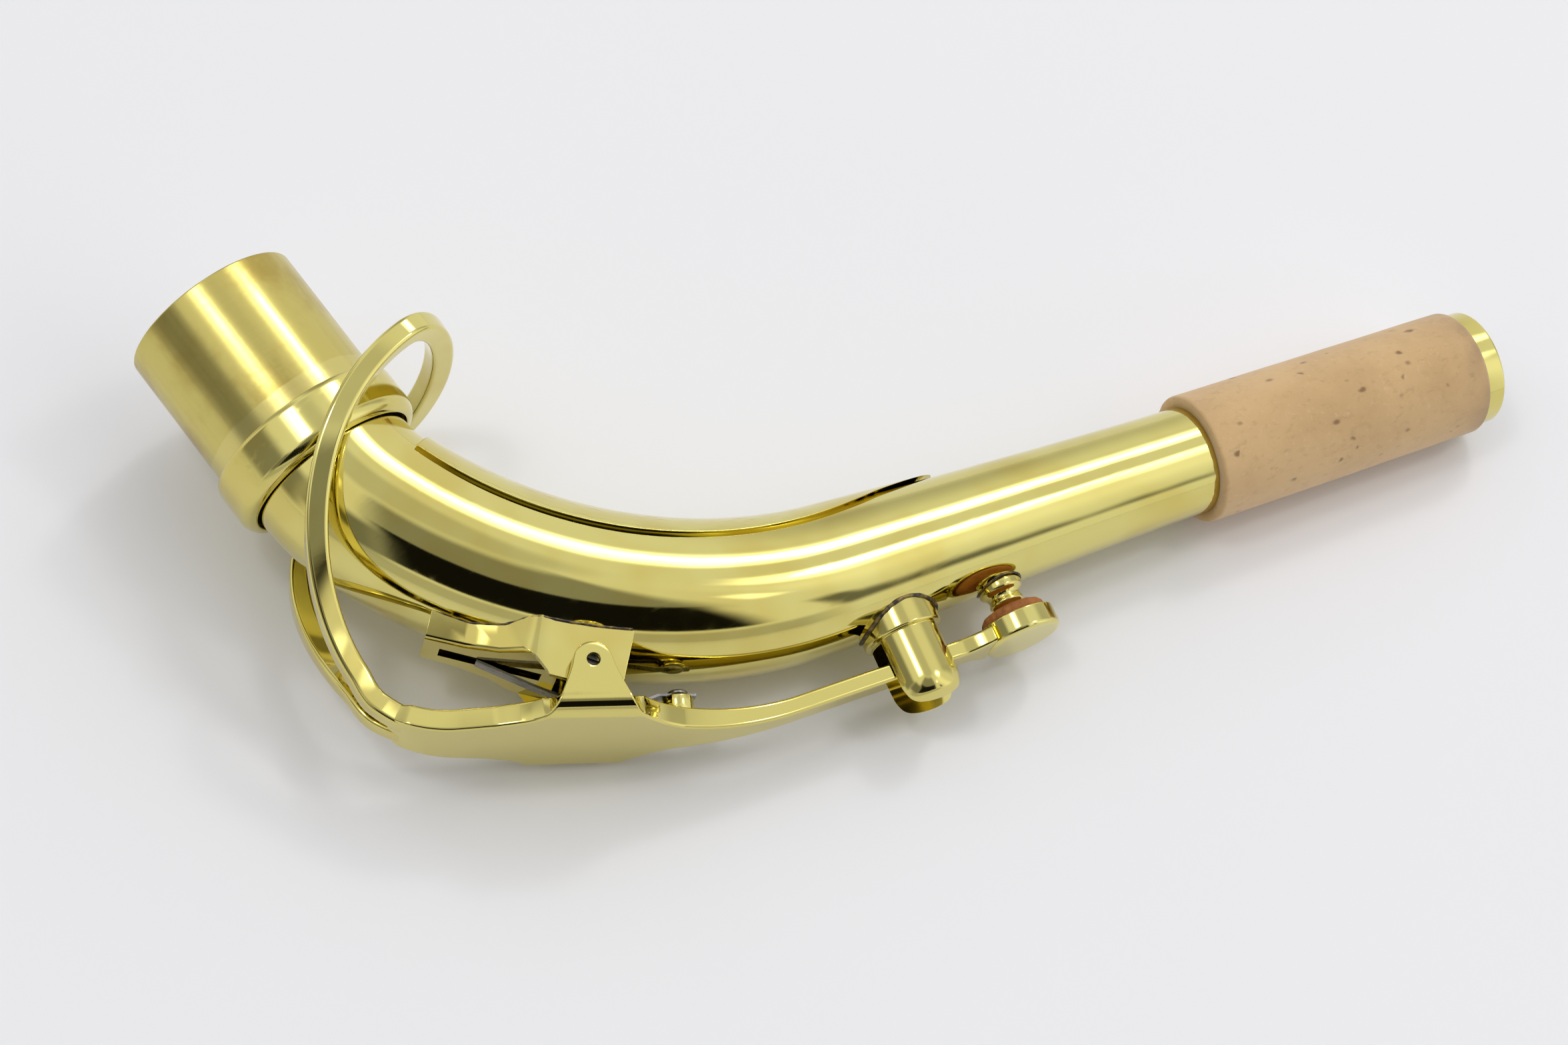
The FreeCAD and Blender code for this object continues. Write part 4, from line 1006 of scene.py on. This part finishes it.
def make_lever():
    """The key's bent sheet from the bridge to the cup, as sections along its outer skin."""
    foot = HINGE + Matrix.Rotation(SLOPE, 3, "Z") @ Vector((0, -REACH, 0))
    forward = Vector((math.cos(SLOPE), math.sin(SLOPE), 0))
    ends = np.cumsum([0.0] + [length for length, _ in LEVER_RUNS])
    total = ends[-1]
    pip = outward(PIP)
    cup_axis, cup_dir = pip.translation, (pip.to_3x3() @ Vector((0, 0, 1)))
    ear_middle = ends[1] + EAR_RUN
    thicks = [KEY_THICK, KEY_THICK, ARM_THICK, ARM_THICK]
    marks = set(np.linspace(0, total, 190).round(4).tolist())
    fine = np.arange(ear_middle - FINE_HALF, ear_middle + FINE_HALF, FINE_STEP)
    marks |= set(fine.round(4).tolist())
    verts, rows, count = [], 0, 0
    for distance in sorted(m for m in marks if m >= LEVER_FROM):
        place = walk(LEVER_RUNS, distance, LEVER_TURN, *LEVER_START)
        x = (place.translation - foot).dot(forward)
        thick = float(np.interp(distance, [0, ends[2], ends[3], total], thicks))
        middle = place @ Vector((0, thick / 2, 0))
        off = middle - cup_axis
        gap = (off - cup_dir * off.dot(cup_dir)).length
        if distance > ends[3] and gap < CUP_RADIUS - 0.35:
            break
        reach = sheet_reach(x)
        if distance > ends[3]:
            reach += CUP_FLARE * max(0.0, 1 - (gap - CUP_RADIUS) / CUP_FLARE_RUN) ** 2
        blend = min(1.0, (distance - LEVER_FROM) / LEVER_BLEND)
        blend = LEVER_NARROW + (1 - LEVER_NARROW) * blend * blend * (3 - 2 * blend)
        section = sheet_section(reach * blend, thick)
        half = [Vector((thick / 2 + (p.x - thick / 2) * blend, p.y)) for p in section]
        line = half + [Vector((p.x, -p.y)) for p in reversed(half)]
        count = len(line)
        verts += [place @ Vector((0, p.x, p.y)) for p in line]
        rows += 1
    faces = grid_faces(rows, count)
    faces.append(tuple(range(count)))
    faces.append(tuple(range((rows - 1) * count, rows * count)))
    return verts, faces


def make_key():
    settings = (Matrix(), BRASS, "key", "lacquered_brass", ("octave_key",))
    lever = piece("octave_key_lever", *make_lever(), *settings)
    cut(lever, *rod(HINGE_BORE, -14, 14), Matrix.Translation(HINGE))
    ease(lever, 0.12, 55)
    piece("octave_key_loop", *make_loop(), *settings)


make_key()

# ---------------------------------------------------------------- pad
CUP_BORE, CUP_RIM, CUP_FLOOR = 4.75, 13.7, 15.6
PLEATS, PLEAT_DEPTH, CREASE_DEPTH = 23, 0.10, 0.07
lathe(
    "pad_cup_turned",
    [
        (0, 16.8, 0), (CUP_RADIUS, 16.72, 0.7), (CUP_RADIUS, CUP_RIM, 0.22),
        (CUP_BORE, CUP_RIM, 0.12), (CUP_BORE, CUP_FLOOR, 0), (0, CUP_FLOOR, 0),
    ],
    outward(PIP), BRASS, "key", "lacquered_brass", ("pad_cup",), 128, steps=6,
)


def make_pad():
    """Thin leather drawn over the felt: it bulges below the rim and puckers round its edge."""
    back = 14.88
    profile = [
        (0.0, 12.10), (1.2, 12.06), (2.6, 12.03), (3.5, 12.08), (4.05, 12.28), (4.38, 12.62),
        (4.5, 13.05), (4.46, 13.45), (4.3, 13.75), (4.25, 14.3), (4.25, back), (3.7, back), (0.0, back),
    ]
    around = 144
    line = rounded([(r, z, 0.35) for r, z in profile], closed=False, steps=3)
    verts = []
    for radius, height in line:
        for k in range(around):
            t = 2 * math.pi * k / around
            x, y = math.cos(t), math.sin(t)
            spread = max(0.0, (radius - 2.4) / 2.1) if height < 14.0 else 0.0
            uneven = 2.5 * noise.noise(Vector((x, y, height)) * 2)
            pleat = 0.5 + 0.5 * math.sin(t * PLEATS + uneven)
            crease = noise.noise(Vector((x * 4, y * 4, height * 1.6)))
            r = radius - spread * (PLEAT_DEPTH * pleat + CREASE_DEPTH * crease)
            # the ring that the pip has pressed into the face
            dip = 0.09 * math.exp(-((radius - 1.9) / 0.35) ** 2) if height < 12.4 else 0.0
            verts.append((r * x, r * y, height + dip + spread * 0.05 * crease))
    obj = piece(
        "pad_leather_skin", verts, grid_faces(len(line), around), outward(PIP), LEATHER,
        "key", "leather", ("pad_leather",), False,
    )


make_pad()

# ---------------------------------------------------------------- stage, light and camera
low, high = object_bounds()
middle = (low + high) / 2
FLOOR_HALF, FLOOR_GAP = 3.0, 0.05 * MM


def paper_material():
    n = Nodes("studio_paper")
    cloud = n.ramp(n.noise(6), 0.3, 0.7)
    return n.finish(n.mix(cloud, (0.925, 0.925, 0.935), (0.945, 0.945, 0.955)), 0.6)


def make_floor():
    corners = [(-1, -1), (1, -1), (1, 1), (-1, 1)]
    mesh = bpy.data.meshes.new("floor")
    mesh.from_pydata(
        [(x * FLOOR_HALF + middle.x, y * FLOOR_HALF + middle.y, low.z - FLOOR_GAP) for x, y in corners],
        [], [(0, 1, 2, 3)],
    )
    mesh.materials.append(paper_material())
    obj = bpy.data.objects.new("floor", mesh)
    bpy.context.scene.collection.objects.link(obj)
    return obj


floor = make_floor()


def direction(azimuth, elevation):
    a, e = math.radians(azimuth), math.radians(elevation)
    return Vector((math.cos(a) * math.cos(e), math.sin(a) * math.cos(e), math.sin(e)))


TENT_LEVEL, TENT_STRENGTH = 0.72, 1.23
# degrees: azimuth from and to, elevation from and to, softness of each pair; then brightness
PANELS = [
    (-72, 0, 46, 74, 12, 10, 0.24),
    (-70, -3, 17, 49, 8, 3, 0.006),
    (-90, 8, 0, 14, 14, 5, 0.42),
    (-96, -68, 14, 43, 10, 10, 0.17),
    (-126, -96, 3, 38, 12, 12, 0.22),
    (11, 17, 14, 34, 3, 8, 0.14),
    (12, 20, 51, 58, 5, 5, 1.7),
    (24, 46, 0, 62, 16, 24, 0.95),
    (70, 92, 2, 42, 16, 20, 0.42),
    (136, 168, 0, 52, 18, 24, 0.34),
    (-172, -142, 3, 60, 18, 24, 0.40),
    (-190, 190, 77, 95, 2, 8, 0.52),
    (103, 121, 45, 61, 11, 10, 3.0),
    (43, 65, 54, 66, 11, 8, 2.4),
    (-133, -103, 61, 73, 14, 8, 3.0),
]


def make_world():
    """A white light tent, seen by the polished brass as soft-edged panels of other brightness."""
    world = bpy.data.worlds.new("tent")
    bpy.context.scene.world = world
    world.use_nodes = True
    t = Tree(world.node_tree)
    background = t.tree.nodes["Background"]
    split = t.add("ShaderNodeSeparateXYZ")
    t.link(t.add("ShaderNodeTexCoord").outputs["Generated"], split.inputs[0])
    azimuth = t.maths("DEGREES", t.maths("ARCTAN2", split.outputs["Y"], split.outputs["X"]))
    elevation = t.maths("DEGREES", t.maths("ARCSINE", split.outputs["Z"]))

    def between(angle, low, high, soft):
        """1 between two angles and 0 outside them, with soft edges."""
        rise = t.ramp(angle, low - soft / 2, low + soft / 2)
        return t.maths("SUBTRACT", rise, t.ramp(angle, high - soft / 2, high + soft / 2))

    level = TENT_LEVEL
    for left, right, bottom, top, side_soft, end_soft, brightness in PANELS:
        across = between(azimuth, left, right, side_soft)
        share = t.maths("MULTIPLY", across, between(elevation, bottom, top, end_soft))
        change = t.maths("MULTIPLY", t.maths("SUBTRACT", brightness, level), share)
        level = t.maths("ADD", change, level)
    joined = t.add("ShaderNodeCombineColor")
    for key, gain in (("Red", 1.0), ("Green", 1.0), ("Blue", 1.02)):
        t.link(t.maths("MULTIPLY", level, gain), joined.inputs[key])
    t.link(joined.outputs["Color"], background.inputs["Color"])
    background.inputs["Strength"].default_value = TENT_STRENGTH


make_world()


def area_light(name, azimuth, elevation, width, depth, power):
    """A soft lamp a metre away that faces the middle of the object."""
    lamp = bpy.data.lights.new(name, "AREA")
    lamp.shape, lamp.size, lamp.size_y, lamp.energy = "RECTANGLE", width, depth, power
    obj = bpy.data.objects.new(name, lamp)
    bpy.context.scene.collection.objects.link(obj)
    toward = direction(azimuth, elevation)
    obj.location = middle + toward
    obj.rotation_mode = "QUATERNION"
    obj.rotation_quaternion = toward.to_track_quat("Z", "Y")


area_light("lamp_back", 112, 53, 0.11, 0.11, 0.6)
area_light("lamp_side", 54, 60, 0.11, 0.11, 0.45)
area_light("lamp_left", -118, 67, 0.15, 0.10, 0.5)

# The camera stands where the photograph was taken from. Its angles say which way its back faces.
CAMERA_PLACE = Vector((212.077, -143.832, 363.941))
CAMERA_AZIMUTH, CAMERA_ELEVATION, CAMERA_ROLL = -52.24234, 57.25325, 14.31917
SENSOR_WIDTH, FOCAL_LENGTH, NEAREST = 36.0, 76.53, 10.0


def make_camera():
    data = bpy.data.cameras.new("camera")
    data.sensor_width, data.lens, data.clip_start = SENSOR_WIDTH, FOCAL_LENGTH, NEAREST * MM
    camera = bpy.data.objects.new("camera", data)
    bpy.context.scene.collection.objects.link(camera)
    level = direction(CAMERA_AZIMUTH, CAMERA_ELEVATION).to_track_quat("Z", "Y").to_matrix().to_4x4()
    roll = Matrix.Rotation(math.radians(CAMERA_ROLL), 4, "Z")
    camera.matrix_world = Matrix.Translation(CAMERA_PLACE * MM) @ level @ roll
    bpy.context.scene.camera = camera


make_camera()
bpy.context.scene.view_settings.view_transform = "Standard"
